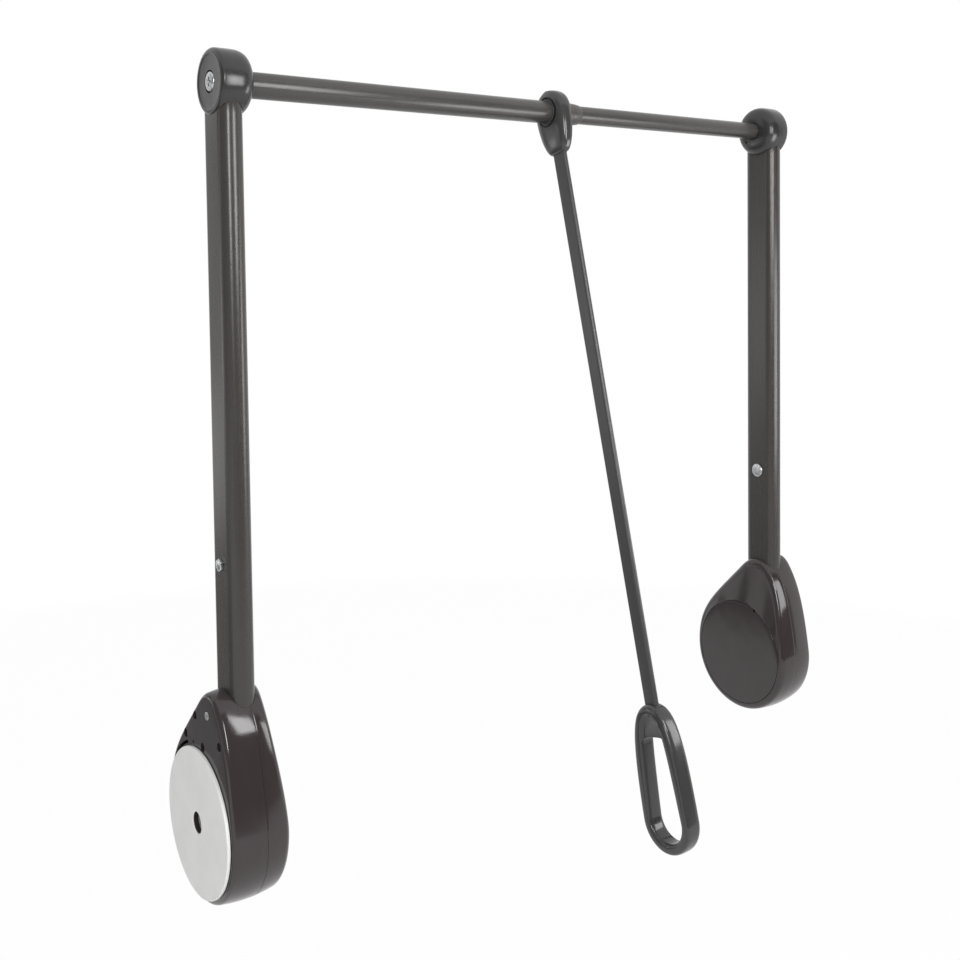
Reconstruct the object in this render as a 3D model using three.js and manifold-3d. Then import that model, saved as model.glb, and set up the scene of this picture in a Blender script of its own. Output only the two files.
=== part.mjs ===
// Pull down closet rod: two sprung side arms that carry a telescopic bar and swing it down with a pull rod.
// Millimetres, X along the bar, -Y towards the person who uses it, +Z up.
// The origin is the middle of the left wall disc's wall face, on the axis that the arms swing about.

import * as THREE from 'three';
import { mergeVertices } from 'three/addons/utils/BufferGeometryUtils.js';
import Module from 'manifold-3d';

const wasm = await Module();
wasm.setup();

// The whole lift
const span = 859; // wall to wall, as the telescopic bar is set
const barHeight = 733; // swing axis to bar axis
const gap = 0.3; // between pieces that touch
const runningGap = 0.5; // between pieces that turn or slide on each other
const overrun = 2; // cuts run this far past the material
const headCrownShare = 0.8; // flat top of a screw head, of its radius

// Pinion and rack that load the spring
const toothModule = 2;
const pinionTeeth = 18;
const rackTeethBelow = 6; // teeth below the one in mesh when the arms are up
const rackTeethAbove = 2;
const pressureAngle = THREE.MathUtils.degToRad(20);
const backlash = 0.4;
const dedendumShare = 1.25;
const pinionWidth = 12;
const rackWidth = 10;
const rackDepth = 13;
const swingAngle = THREE.MathUtils.degToRad(95); // arms up to arms down
const pitchRadius = (toothModule * pinionTeeth) / 2;
const rackTravel = pitchRadius * swingAngle;

// Side arm, an oval tube in front of the swing axis and in line with the rack
const armWidth = 51.2;
const armDepth = 25.2;
const armWall = 1.5;
const armInset = 34.6; // wall to the arm's middle
const armFoot = 96; // lower end of the tube, inside the housing
const armOffset = pitchRadius - toothModule + rackDepth / 2; // swing axis to arm axis

// Housing, two shells with a parting along the edge
const housingRadius = 82.5;
const housingDepth = 59.9;
const housingStandOff = 4; // wall to the housing's outer face
const partingInset = 38; // wall to the parting between the shells
const shellWall = 3;
const shellCrown = 3.3; // how far the edge bulges at the middle
const outerEdgeRound = 3.5;
const outerNeckRound = 6; // the same edge at the front of the neck
const innerEdgeRound = 6.6;
const neckLean = 9; // the room side leans towards the arm at the neck
const neckLeanStart = 0;
const mouthDip = 3; // the mouth is lower in front of the arm than on the wall side
const mouthDipStart = 98;
const neckLip = 4; // housing in front of the arm at its neck
const neckBackLip = 2;
const neckFrontHeight = 119;
const neckBackHeight = 122;
const neckPeak = 139;
const neckPeakForward = 2; // peak in front of the arm axis
const backSwell = 52;
const backReach = 51;
const frontSwell = 45;
const frontReach = 27;
const frontCrest = 12;
const frontLeanShare = 0.62;
const neckDomeShare = 0.7;
const frontLeaveAngle = THREE.MathUtils.degToRad(172);
const cavityTop = 98; // above the arm's foot, so that the rack has a way through
const webInset = 46; // wall to the bearing web of the inner shell
const webThickness = 4;
const guideThickness = 4; // rib behind the rack
const guideLength = 66;

// Round cover on the room side
const coverRadius = 71.2;
const coverThickness = 2.7;
const coverGap = 0.6;
const coverLedge = 5;
const coverEdge = 0.5;

// Wall disc and axle
const discRadius = 74.3;
const discBevel = 1.2;
const discBore = 12.5;
const discBoreBevel = 1.6;
const hubRadius = 30;
const hubEnd = 18; // wall to the end of the hub
const axleRadius = 10;
const axleBore = 5.4;
const axleStart = 9; // wall to the axle's end in the disc's bore
const axleFlangeRadius = 26;
const axleFlange = 3;
const axleShoulder = 50;
const axleThread = 8;
const axleEnd = 58.5;
const lugRadius = 2.4; // lugs under the axle's flange stop it turning in the disc
const lugDepth = 5;
const lugCircle = 20.5;
const lugCount = 3;
const axleFlat = 8.4; // axis to the flat that drives the pinion
const bushWall = 2.6;
const bushFlange = 6;
const bushFlangeThickness = 2.2;
const washerRadius = 15;
const washerThickness = 1.5;
const nutAcrossFlats = 24;
const nutThickness = 5.6;

// Screws that join the shells, driven from the wall side
const shellScrewHole = 4.6;
const shellScrewDepth = 18; // depth of the head below the outer face
const shellScrewHead = 3.6;
const shellScrewHeadHeight = 2.4;
const shellScrewRadius = 1.9;
const shellScrewLength = 24;
const screwPost = 5.8;
const shellScrewPlaces = [
  { y: 9.5, z: 105.5 }, // back of the neck
  { y: 34.5, z: 79.8 },
  { y: -9.2, z: 78.3 },
  { y: -49.5, z: 91.5 },
  { y: 0, z: -68 }, // behind the wall disc
];
const locatingHoleRadius = 1.8;
const locatingHolePlace = { y: 14.4, z: 77 };
const arcSlotRadius = 78;
const arcSlotWidth = 3.2;
const arcSlotStart = THREE.MathUtils.degToRad(36);
const arcSlotEnd = THREE.MathUtils.degToRad(69);

// Pin that clamps the arm in the housing, with the rack sliding past it
const clampPinHeight = 114;
const clampPinRadius = 3;
const clampPinHead = 4;
const clampPinHeadHeight = 2;
const clampPinProud = 0.8;
const clampPinEnd = 54;
const rackSlotSpare = 1.5; // rack slot past the pin at each end
const rackHead = 12; // rack above its slot

// Spring between its seat on the rack and the anchor in the arm
const springSeatHeight = 10;
const springBossRadius = 5;
const springBossHeight = 6;
const springRadius = 8.6;
const springWire = 3;
const springTurns = 9;
const anchorHeight = 261; // swing axis to the anchor bolt
const anchorBlockHeight = 18;
const anchorBoltRadius = 3;
const anchorHeadAcrossFlats = 11.4;
const anchorHeadHeight = 3.2;
const anchorNutRadius = 9;
const anchorNutHeight = 2.8;
const anchorSleeveRadius = 4.8;
const anchorSleeveLength = 13;
const anchorSlotWidth = 1.8;
const anchorSlotDepth = 1;

// Knob that joins arm and bar
const knobRadius = 33;
const knobInset = 20.4; // wall to the knob's outer face
const knobDepth = 37.6;
const knobEdge = 4.6;
const knobDomeStart = 14; // outer face to where the dome begins
const knobDomePower = 3.7;
const knobFaceRim = 2.4;
const knobFaceSink = 0.7;
const knobStubDepth = 10; // stub in the arm tube below the knob
const knobRecessRadius = 11.2;
const knobRecessDepth = 3.6;
const knobScrewHead = 9.8;
const knobScrewHeadHeight = 3.4;
const knobScrewRadius = 4;
const knobScrewLength = 30;
const crossLength = 9.5;
const crossWidth = 2.2;
const crossDepth = 2;
const knobSocketWall = 1.7; // between the arm socket and the bar socket
const barStop = 30; // wall to the bar's end in the knob
const barPlugLength = 32;
const lockHoleRadius = 1.6; // small hole beside the bar on the knob's inner side
const lockHoleDepth = 8;
const lockHoleOut = 18.5;
const lockHoleAngle = THREE.MathUtils.degToRad(-50);

// Telescopic bar
const outerBarRadius = 13.25;
const innerBarRadius = 10.85;
const barWall = 1.2;
const outerBarEnd = 466; // left wall to the thick tube's open end
const innerBarStart = 140; // left wall to the thin tube's hidden end
const guidePlugLength = 16;
const guideFlange = 4;

// Bush on the thick tube's end, which the pull ring turns on
const bushLip = 0.9; // sleeve beyond the clip's groove
const bushSleeve = 1.1;
const bushRingFlange = 17.2;
const bushRingFlangeThickness = 2.2;
const bushCollarRadius = 13.25;
const bushCollarEnd = 485;
const bushCollarRound = 1.6;
const clipThickness = 1.8;
const clipDepth = 2;

// Pull ring, pull rod and handle
const pullInset = 448; // left wall to the middle of the ring and rod
const pullLean = THREE.MathUtils.degToRad(13.8); // the rod's lean towards the user
const ringRadius = 26.5;
const ringWidth = 23.4;
const ringCounterbore = 17.9;
const ringCounterboreDepth = 3.3;
const ringTail = 50; // bar axis to the ring's lower end
const ringTailWidth = 24;
const ringTailDepth = 11;
const ringEdgeShare = 0.42;
const ringSectionPower = 3;
const rodTopWidth = 21.4;
const rodBottomWidth = 19.6;
const rodDepth = 6.6;
const ringTuck = 19; // the rod's length inside the ring's tail
const rodStart = ringTail - ringTuck; // bar axis to the rod's upper end
const rodScrewRadius = 1.6;
const rodScrewHead = 3;
const rodScrewLength = 14;
const ringScrewRise = 9; // ring's lower end to its screw
const ringScrewPlace = ringTail - ringScrewRise;
const handleTop = 687; // bar axis to the handle's top
const handleTuck = 24; // the rod's length inside the handle
const rodEnd = handleTop + handleTuck;
const handleScrewDrop = 14; // handle's top to its screw
const handleScrewPlace = handleTop + handleScrewDrop;
const handleLength = 160;
const handleWidth = 71;
const handleDepth = 21;
const handleRound = 4;
const handleShoulderShare = 0.9; // of the length above the end's round, to where the sides run straight
const handleTopBulge = 26;
const handleShoulderBulge = 34.5;
const handleBulgeShare = 0.28;
const handleWeb = 36; // handle top to the finger opening
const handleSide = 11.4;
const handleBottom = 12;
const openingTopWidth = 35;
const openingTopCorner = 9;

// Facets
const discSegments = 32;
const shaftSegments = 12;
const smallSegments = 8;
const outlinePoints = 40;
const arcSegments = 6;
const springSteps = 8;
const springSides = 4;
const sectionPoints = 16;
const handleSegments = 8;
const flankPoints = 2;

const paints = {
  arm: { color: 0x6a6461, roughness: 0.42, metalness: 0.55 },
  knob: { color: 0x57555a, roughness: 0.35, metalness: 0.4 },
  shell: { color: 0x4b4746, roughness: 0.25, metalness: 0.1 },
  nylon: { color: 0xe6e6e4, roughness: 0.5, metalness: 0 },
  bar: { color: 0x8d8985, roughness: 0.32, metalness: 0.75 },
  zinc: { color: 0xc4c6c8, roughness: 0.3, metalness: 1 },
  steel: { color: 0x8a8c8f, roughness: 0.4, metalness: 1 },
  dark: { color: 0x1d1d1e, roughness: 0.5, metalness: 0.1 },
  pull: { color: 0x5c5b5b, roughness: 0.34, metalness: 0.2 },
};

const halfArm = armWidth / 2;
const armAxisY = -armOffset;
const rackTop = clampPinHeight + clampPinRadius + rackSlotSpare + rackHead;
const knobEnd = knobInset + knobDepth;
const housingEnd = housingStandOff + housingDepth;
const armTop = barHeight - outerBarRadius - gap - knobSocketWall;

// Keeps only the positions, joins shared corners, drops flat triangles and turns the faces outwards.
function welded(geometry) {
  const plain = new THREE.BufferGeometry();
  plain.setAttribute('position', geometry.getAttribute('position'));
  if (geometry.index) plain.setIndex(geometry.index);
  const merged = mergeVertices(plain);
  const position = merged.getAttribute('position');
  const corners = [];
  const [a, b, c] = [new THREE.Vector3(), new THREE.Vector3(), new THREE.Vector3()];
  let volume = 0;
  for (let i = 0; i < merged.index.count; i += 3) {
    const triangle = [0, 1, 2].map((k) => merged.index.getX(i + k));
    if (new Set(triangle).size < 3) continue;
    [a, b, c].forEach((corner, k) => corner.fromBufferAttribute(position, triangle[k]));
    volume += a.dot(b.cross(c));
    corners.push(triangle);
  }
  if (volume < 0) corners.forEach((triangle) => triangle.reverse());
  merged.setIndex(corners.flat());
  return merged;
}

function solidOf(geometry) {
  const clean = welded(geometry);
  return new wasm.Manifold(new wasm.Mesh({
    numProp: 3,
    vertProperties: Float32Array.from(clean.getAttribute('position').array),
    triVerts: Uint32Array.from(clean.index.array),
  }));
}

function geometryOf(solid) {
  const mesh = solid.getMesh();
  const geometry = new THREE.BufferGeometry();
  geometry.setAttribute('position', new THREE.BufferAttribute(mesh.vertProperties, 3));
  geometry.setIndex(new THREE.BufferAttribute(mesh.triVerts, 1));
  return geometry;
}

function joined(solids) {
  return solids.reduce((all, solid) => all.add(solid));
}

// Turns a profile of [x, radius] points about an axis along X.
function turned(profile, segments, y = 0, z = 0) {
  const points = profile.map(([x, radius]) => new THREE.Vector2(radius, x));
  const geometry = new THREE.LatheGeometry(points, segments);
  geometry.rotateZ(-Math.PI / 2);
  geometry.translate(0, y, z);
  return solidOf(geometry);
}

function rod(radius, from, to, segments, y = 0, z = 0) {
  return turned([[from, 0], [from, radius], [to, radius], [to, 0]], segments, y, z);
}

function tube(inner, outer, from, to, segments, y = 0, z = 0) {
  return turned([[from, inner], [from, outer], [to, outer], [to, inner], [from, inner]], segments, y, z);
}

// A box between two corners.
function block(low, high) {
  const size = high.map((value, k) => value - low[k]);
  const geometry = new THREE.BoxGeometry(...size);
  geometry.translate(...high.map((value, k) => (value + low[k]) / 2));
  return solidOf(geometry);
}

// Extrudes a shape drawn in Y and Z along X.
function slab(shape, from, to, options = {}) {
  const geometry = new THREE.ExtrudeGeometry(shape, {
    depth: to - from, bevelEnabled: false, curveSegments: arcSegments, ...options,
  });
  const turn = new THREE.Matrix4().makeBasis(
    new THREE.Vector3(0, 1, 0), new THREE.Vector3(0, 0, 1), new THREE.Vector3(1, 0, 0),
  );
  geometry.applyMatrix4(turn);
  geometry.translate(from, 0, 0);
  return solidOf(geometry);
}

// Extrudes a shape drawn in X and Y upwards.
function column(shape, from, to) {
  const geometry = new THREE.ExtrudeGeometry(shape, {
    depth: to - from, bevelEnabled: false, curveSegments: arcSegments,
  });
  geometry.translate(0, 0, from);
  return solidOf(geometry);
}

// An oval with straight sides along Y and half round ends, centred on x, y.
function oval(depth, width, x, y) {
  const radius = Math.min(depth, width) / 2;
  const reach = (width - depth) / 2;
  const shape = new THREE.Shape();
  shape.absarc(x, y + reach, radius, 0, Math.PI);
  shape.absarc(x, y - reach, radius, Math.PI, Math.PI * 2);
  shape.closePath();
  return shape;
}

// Joins rings of equal count into one closed skin, capped with the triangles of a flat view of each end.
function lofted(rings, flatten) {
  const count = rings[0].length;
  const corners = [];
  for (let r = 0; r + 1 < rings.length; r += 1) {
    for (let i = 0; i < count; i += 1) {
      const j = (i + 1) % count;
      const [a, b, c, d] = [r * count + i, r * count + j, (r + 1) * count + j, (r + 1) * count + i];
      corners.push(a, b, c, a, c, d);
    }
  }
  const cap = (ring) => THREE.ShapeUtils.triangulateShape(ring.map(flatten), []);
  cap(rings[0]).forEach(([a, b, c]) => corners.push(a, c, b));
  const last = (rings.length - 1) * count;
  cap(rings[rings.length - 1]).forEach(([a, b, c]) => corners.push(last + a, last + b, last + c));
  const geometry = new THREE.BufferGeometry().setFromPoints(rings.flat());
  geometry.setIndex(corners);
  return solidOf(geometry);
}

// The housing's outline at its widest, in Y and Z: a round foot, a sloping back and a domed neck.
function housingOutline() {
  const front = new THREE.Vector2(armAxisY - halfArm - neckLip, neckFrontHeight);
  const back = new THREE.Vector2(armAxisY + halfArm + neckBackLip, neckBackHeight);
  const peak = new THREE.Vector2(armAxisY - neckPeakForward, neckPeak);
  const leave = new THREE.Vector2(Math.cos(frontLeaveAngle), Math.sin(frontLeaveAngle));
  const path = new THREE.Path();
  path.moveTo(housingRadius, 0);
  path.bezierCurveTo(housingRadius, backSwell, back.x + backReach, back.y - backReach, back.x, back.y);
  const domeRise = peak.y - back.y;
  path.bezierCurveTo(
    back.x - domeRise * neckDomeShare, back.y + domeRise * neckDomeShare,
    (back.x + peak.x * 2) / 3, peak.y, peak.x, peak.y,
  );
  path.bezierCurveTo(
    (front.x + peak.x) / 2, peak.y, front.x + frontCrest * frontLeanShare, front.y + frontCrest,
    front.x, front.y,
  );
  const foot = leave.clone().multiplyScalar(housingRadius);
  path.bezierCurveTo(
    front.x - frontReach * frontLeanShare, front.y - frontReach,
    foot.x + leave.y * frontSwell, foot.y - leave.x * frontSwell, foot.x, foot.y,
  );
  path.absarc(0, 0, housingRadius, frontLeaveAngle, Math.PI * 2);
  return path.getSpacedPoints(outlinePoints).slice(0, outlinePoints);
}

// Each outline point with its inward normal and how far it belongs to the front of the neck.
const outline = housingOutline().map((point, i, points) => {
  const before = points[(i + outlinePoints - 1) % outlinePoints];
  const after = points[(i + 1) % outlinePoints];
  const along = after.clone().sub(before).normalize();
  const forward = THREE.MathUtils.smoothstep(armAxisY - point.x, -halfArm, halfArm);
  return {
    point,
    inward: new THREE.Vector2(-along.y, along.x),
    lean: THREE.MathUtils.smoothstep(point.y, neckLeanStart, neckFrontHeight) * (1 + forward) / 2,
    dip: THREE.MathUtils.smoothstep(point.y, mouthDipStart, neckPeak) * forward,
    front: THREE.MathUtils.smoothstep(point.y, 0, neckFrontHeight) * forward,
  };
});

function crownInset(x) {
  const half = housingDepth / 2;
  return shellCrown * ((x - housingStandOff - half) / half) ** 2;
}

// One ring of the housing's skin; x and the inset may differ from point to point.
function outlineRing(place) {
  return outline.map((spot) => {
    const { x, inset } = place(spot);
    const dip = mouthDip * spot.dip * THREE.MathUtils.smoothstep(x, housingStandOff, armInset);
    const lean = neckLean * spot.lean * THREE.MathUtils.smoothstep(x, armInset, housingEnd);
    return new THREE.Vector3(
      x - lean,
      spot.point.x + spot.inward.x * inset,
      spot.point.y + spot.inward.y * inset - dip,
    );
  });
}

const sideView = (point) => new THREE.Vector2(point.y, point.z);

// The space that both shells fill, between two places along X.
function housingBody(from, to) {
  const quarter = Math.PI / 2;
  const outerEdge = (turn) => ({ front }) => {
    const round = outerEdgeRound + (outerNeckRound - outerEdgeRound) * front;
    const x = housingStandOff + round * (1 - Math.sin(turn));
    return { x, inset: crownInset(x) + round * (1 - Math.cos(turn)) };
  };
  const middle = (x) => () => ({ x, inset: crownInset(x) });
  const innerEdge = (turn) => () => {
    const x = housingEnd - innerEdgeRound * (1 - Math.sin(turn));
    return { x, inset: crownInset(x) + innerEdgeRound * (1 - Math.cos(turn)) };
  };
  const places = [
    ...[1, 0.5, 0].map((share) => outerEdge(share * quarter)),
    middle((housingStandOff + partingInset) / 2 + outerEdgeRound),
    middle(partingInset),
    ...[0, 1 / 3, 2 / 3, 1].map((share) => innerEdge(share * quarter)),
  ];
  const rings = places.map(outlineRing);
  const faceRadius = coverRadius + coverGap * 2;
  rings.push(rings[rings.length - 1].map((point) => {
    const flat = new THREE.Vector2(point.y, point.z).setLength(faceRadius);
    return new THREE.Vector3(housingEnd, flat.x, flat.y);
  }));
  const body = lofted(rings, sideView);
  const reach = housingRadius + neckPeak;
  return body.intersect(block([from, -reach, -reach], [to, reach, reach]));
}

// A straight sided hollow in a shell, below the neck.
function housingRoom(from, to, inset) {
  const ends = [from, to].map((x) => outline.map(({ point, inward }) => (
    new THREE.Vector3(x, point.x + inward.x * inset, point.y + inward.y * inset))));
  const reach = housingRadius + neckPeak;
  return lofted(ends, sideView).intersect(block([from, -reach, -reach], [to, reach, cavityTop]));
}

// The tube's place in the shells, with a gap all round.
function armSlot() {
  const shape = oval(armDepth + gap * 2, armWidth + gap * 2, armInset, armAxisY);
  return column(shape, armFoot - gap, neckPeak + overrun);
}

function screwPosts(from, to, within) {
  const posts = shellScrewPlaces.map(({ y, z }) => rod(screwPost, from, to, smallSegments, y, z));
  return joined(posts).intersect(within);
}

function rackGuide(from, to) {
  const back = armAxisY - rackDepth / 2 - gap;
  return block([from, back - guideThickness, -guideLength / 2], [to, back, guideLength / 2]);
}

function arcSlot() {
  const inner = arcSlotRadius - arcSlotWidth / 2;
  const outer = arcSlotRadius + arcSlotWidth / 2;
  const shape = new THREE.Shape();
  shape.absarc(0, 0, outer, arcSlotStart, arcSlotEnd);
  shape.absarc(0, 0, inner, arcSlotEnd, arcSlotStart, true);
  shape.closePath();
  return slab(shape, housingStandOff - overrun, housingStandOff + shellWall + overrun);
}

function outerShell() {
  const face = housingStandOff + shellWall;
  const end = partingInset - gap / 2;
  const body = housingBody(housingStandOff, end);
  const room = housingRoom(face, end + overrun, shellWall + shellCrown);
  const headSeat = housingStandOff + shellScrewDepth;
  const outside = housingStandOff - overrun;
  const pinSeat = housingStandOff - clampPinProud + clampPinHeadHeight;
  const cuts = [
    rod(hubRadius + runningGap, outside, hubEnd + gap, discSegments),
    rod(axleFlangeRadius + runningGap, hubEnd, partingInset, discSegments),
    armSlot(),
    arcSlot(),
    rod(locatingHoleRadius, outside, face + overrun, smallSegments, locatingHolePlace.y, locatingHolePlace.z),
    rod(clampPinRadius + gap, housingStandOff, partingInset, smallSegments, armAxisY, clampPinHeight),
    rod(clampPinHead + gap, outside, pinSeat + gap, smallSegments, armAxisY, clampPinHeight),
    ...shellScrewPlaces.map(({ y, z }) => rod(shellScrewHole, outside, headSeat, smallSegments, y, z)),
    ...shellScrewPlaces.map(({ y, z }) => (
      rod(shellScrewRadius + gap, headSeat - overrun, end + overrun, smallSegments, y, z))),
  ];
  return body.subtract(room)
    .add(screwPosts(face - overrun / 2, end, body))
    .add(rackGuide(face - overrun / 2, end))
    .subtract(joined(cuts));
}

function innerShell() {
  const start = partingInset + gap / 2;
  const ledge = housingEnd - coverThickness - gap;
  const body = housingBody(start, housingEnd);
  const room = housingRoom(start - overrun, webInset, shellWall + shellCrown);
  const cuts = [
    rod(coverRadius + coverGap, ledge, housingEnd + overrun, discSegments),
    rod(coverRadius - coverLedge, webInset + webThickness, ledge + overrun, discSegments),
    rod(axleRadius + runningGap + bushWall + gap, webInset - overrun, ledge, shaftSegments * 2),
    armSlot(),
    rod(clampPinRadius + gap, start - overrun, clampPinEnd + gap, smallSegments, armAxisY, clampPinHeight),
    ...shellScrewPlaces.map(({ y, z }) => rod(shellScrewRadius + gap, start - overrun,
      housingStandOff + shellScrewDepth + shellScrewLength + gap, smallSegments, y, z)),
  ];
  return body.subtract(room)
    .add(screwPosts(start, webInset + overrun / 2, body))
    .add(rackGuide(start, webInset + overrun / 2))
    .subtract(joined(cuts));
}

function roundCover() {
  const face = housingEnd - coverThickness;
  return turned([
    [face, 0], [face, coverRadius], [housingEnd - coverEdge, coverRadius],
    [housingEnd, coverRadius - coverEdge], [housingEnd, 0],
  ], discSegments);
}

function wallDisc() {
  const back = housingStandOff - runningGap;
  const disc = turned([
    [0, discBore + discBoreBevel], [0, discRadius - discBevel], [discBevel, discRadius],
    [back - discBevel / 2, discRadius], [back, discRadius - discBevel / 2], [back, hubRadius],
    [hubEnd, hubRadius], [hubEnd, discBore], [discBoreBevel, discBore], [0, discBore + discBoreBevel],
  ], discSegments);
  return disc.subtract(joined(lugs(hubEnd - lugDepth - gap, hubEnd + overrun, gap)));
}

function lugs(from, to, clearance) {
  return Array.from({ length: lugCount }, (_, i) => {
    const angle = Math.PI / 2 + (i / lugCount) * Math.PI * 2;
    const [y, z] = [Math.cos(angle) * lugCircle, Math.sin(angle) * lugCircle];
    return rod(lugRadius + clearance, from, to, smallSegments, y, z);
  });
}

function axle() {
  const flangeStart = hubEnd + gap;
  const flangeEnd = flangeStart + axleFlange;
  const shaft = turned([
    [axleStart, axleBore], [axleStart, discBore - gap], [flangeStart, discBore - gap],
    [flangeStart, axleFlangeRadius], [flangeEnd, axleFlangeRadius], [flangeEnd, axleRadius],
    [axleShoulder, axleRadius], [axleShoulder, axleThread], [axleEnd, axleThread],
    [axleEnd, axleBore], [axleStart, axleBore],
  ], shaftSegments * 2);
  return shaft.subtract(flatBeyond(axleFlat, gap))
    .add(joined(lugs(hubEnd - lugDepth, flangeStart + axleFlange / 2, 0)));
}

// What lies beyond the axle's flat, over the pinion's width.
function flatBeyond(height, clearance) {
  const half = pinionWidth / 2 + clearance;
  return block([armInset - half, height, -pitchRadius], [armInset + half, pitchRadius, pitchRadius]);
}

// Involute teeth with a tooth space facing the rack when the arms are up.
function pinion() {
  const base = pitchRadius * Math.cos(pressureAngle);
  const root = pitchRadius - toothModule * dedendumShare;
  const tip = pitchRadius + toothModule;
  const involute = (angle) => Math.tan(angle) - angle;
  const halfTooth = (radius) => (Math.PI / 2 - backlash / 2 / toothModule) / pinionTeeth
    + involute(pressureAngle) - involute(Math.acos(Math.min(1, base / radius)));
  const flank = Array.from({ length: flankPoints }, (_, i) => base + ((tip - base) * i) / (flankPoints - 1));
  const points = [];
  for (let tooth = 0; tooth < pinionTeeth; tooth += 1) {
    const middle = Math.PI + ((tooth + 0.5) / pinionTeeth) * Math.PI * 2;
    const at = (radius, angle) => points.push(
      new THREE.Vector2(Math.cos(middle + angle) * radius, Math.sin(middle + angle) * radius));
    at(root, -halfTooth(base));
    flank.forEach((radius) => at(radius, -halfTooth(radius)));
    [...flank].reverse().forEach((radius) => at(radius, halfTooth(radius)));
    at(root, halfTooth(base));
  }
  return slab(new THREE.Shape(points), armInset - pinionWidth / 2, armInset + pinionWidth / 2)
    .subtract(rod(axleRadius + gap, 0, housingEnd, shaftSegments * 2)
      .subtract(flatBeyond(axleFlat + gap, pinionWidth)));
}

// A flat bar with straight sided teeth towards the pinion and a slot for the clamp pin.
function rack() {
  const pitch = Math.PI * toothModule;
  const tip = armAxisY + rackDepth / 2;
  const root = tip - toothModule * (1 + dedendumShare);
  const halfAtPitch = (pitch - backlash) / 4;
  const slope = Math.tan(pressureAngle);
  const halfTip = halfAtPitch - slope * toothModule;
  const halfRoot = halfAtPitch + slope * toothModule * dedendumShare;
  const foot = -(rackTeethBelow + 0.5) * pitch;
  const shape = new THREE.Shape();
  shape.moveTo(tip - rackDepth, foot);
  shape.lineTo(root, foot);
  for (let count = -rackTeethBelow; count <= rackTeethAbove; count += 1) {
    const z = count * pitch;
    const tooth = [[root, -halfRoot], [tip, -halfTip], [tip, halfTip], [root, halfRoot]];
    tooth.forEach(([y, dz]) => shape.lineTo(y, z + dz));
  }
  const shoulder = (rackTeethAbove + 0.5) * pitch;
  shape.lineTo(root, shoulder);
  shape.lineTo(tip, shoulder + toothModule);
  shape.lineTo(tip, rackTop);
  shape.lineTo(tip - rackDepth, rackTop);
  shape.closePath();
  const slotHalf = clampPinRadius + runningGap;
  const slotTop = clampPinHeight + clampPinRadius + rackSlotSpare;
  const slotFoot = clampPinHeight - clampPinRadius - rackSlotSpare - rackTravel;
  return slab(shape, armInset - rackWidth / 2, armInset + rackWidth / 2)
    .subtract(block([0, armAxisY - slotHalf, slotFoot], [housingEnd, armAxisY + slotHalf, slotTop]));
}

function armBoreOval(clearance) {
  return oval(armDepth - (armWall + clearance) * 2, armWidth - (armWall + clearance) * 2, armInset, armAxisY);
}

function armTube() {
  const shape = oval(armDepth, armWidth, armInset, armAxisY);
  shape.holes.push(armBoreOval(0));
  const outer = armInset - armDepth / 2;
  const inner = armInset + armDepth / 2;
  const cross = (radius, from, to, segments, z) => rod(radius + gap, from, to, segments, armAxisY, z);
  return column(shape, armFoot, armTop)
    .subtract(cross(clampPinRadius, outer - overrun, inner + overrun, smallSegments, clampPinHeight))
    .subtract(cross(anchorBoltRadius, outer - overrun, armInset, smallSegments, anchorHeight))
    .subtract(cross(anchorSleeveRadius, armInset, inner + overrun, shaftSegments, anchorHeight));
}

function clampPin() {
  const start = housingStandOff - clampPinProud;
  return turned([
    [start, 0], [start, clampPinHead * headCrownShare], [start + clampPinProud, clampPinHead],
    [start + clampPinHeadHeight, clampPinHead], [start + clampPinHeadHeight, clampPinRadius],
    [clampPinEnd, clampPinRadius], [clampPinEnd, 0],
  ], smallSegments, armAxisY, clampPinHeight);
}

function springSeat() {
  const top = rackTop + gap + springSeatHeight;
  const length = springBossHeight + overrun;
  const boss = new THREE.CylinderGeometry(springBossRadius, springBossRadius, length, smallSegments);
  boss.rotateX(Math.PI / 2);
  boss.translate(armInset, armAxisY, top + (springBossHeight - overrun) / 2);
  return column(armBoreOval(gap), rackTop + gap, top).add(solidOf(boss));
}

function anchorBlock() {
  const half = anchorBlockHeight / 2;
  const cross = (radius, from, segments) => (
    rod(radius + gap, from, housingEnd, segments, armAxisY, anchorHeight));
  return column(armBoreOval(gap), anchorHeight - half, anchorHeight + half)
    .subtract(cross(anchorBoltRadius, 0, smallSegments))
    .subtract(cross(anchorSleeveRadius, armInset - overrun, shaftSegments));
}

// A round wire wound in a helix between the seat and the anchor block.
function spring() {
  const wire = springWire / 2;
  const foot = rackTop + gap * 2 + springSeatHeight + wire;
  const top = anchorHeight - anchorBlockHeight / 2 - gap - wire;
  const steps = springTurns * springSteps;
  const rings = [];
  for (let i = 0; i <= steps; i += 1) {
    const turn = (i / springSteps) * Math.PI * 2;
    const z = foot + ((top - foot) * i) / steps;
    rings.push(Array.from({ length: springSides }, (_, k) => {
      const angle = (k / springSides) * Math.PI * 2;
      const out = springRadius + Math.cos(angle) * wire;
      return new THREE.Vector3(
        armInset + Math.cos(turn) * out, armAxisY + Math.sin(turn) * out, z + Math.sin(angle) * wire);
    }));
  }
  const radial = (point) => Math.hypot(point.x - armInset, point.y - armAxisY);
  return lofted(rings, (point) => new THREE.Vector2(radial(point), point.z));
}

function hexagon(acrossFlats, y, z) {
  const radius = acrossFlats / Math.sqrt(3);
  const points = Array.from({ length: 6 }, (_, i) => {
    const angle = (i / 6) * Math.PI * 2 + Math.PI / 6;
    return new THREE.Vector2(y + Math.cos(angle) * radius, z + Math.sin(angle) * radius);
  });
  return new THREE.Shape(points);
}

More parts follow.
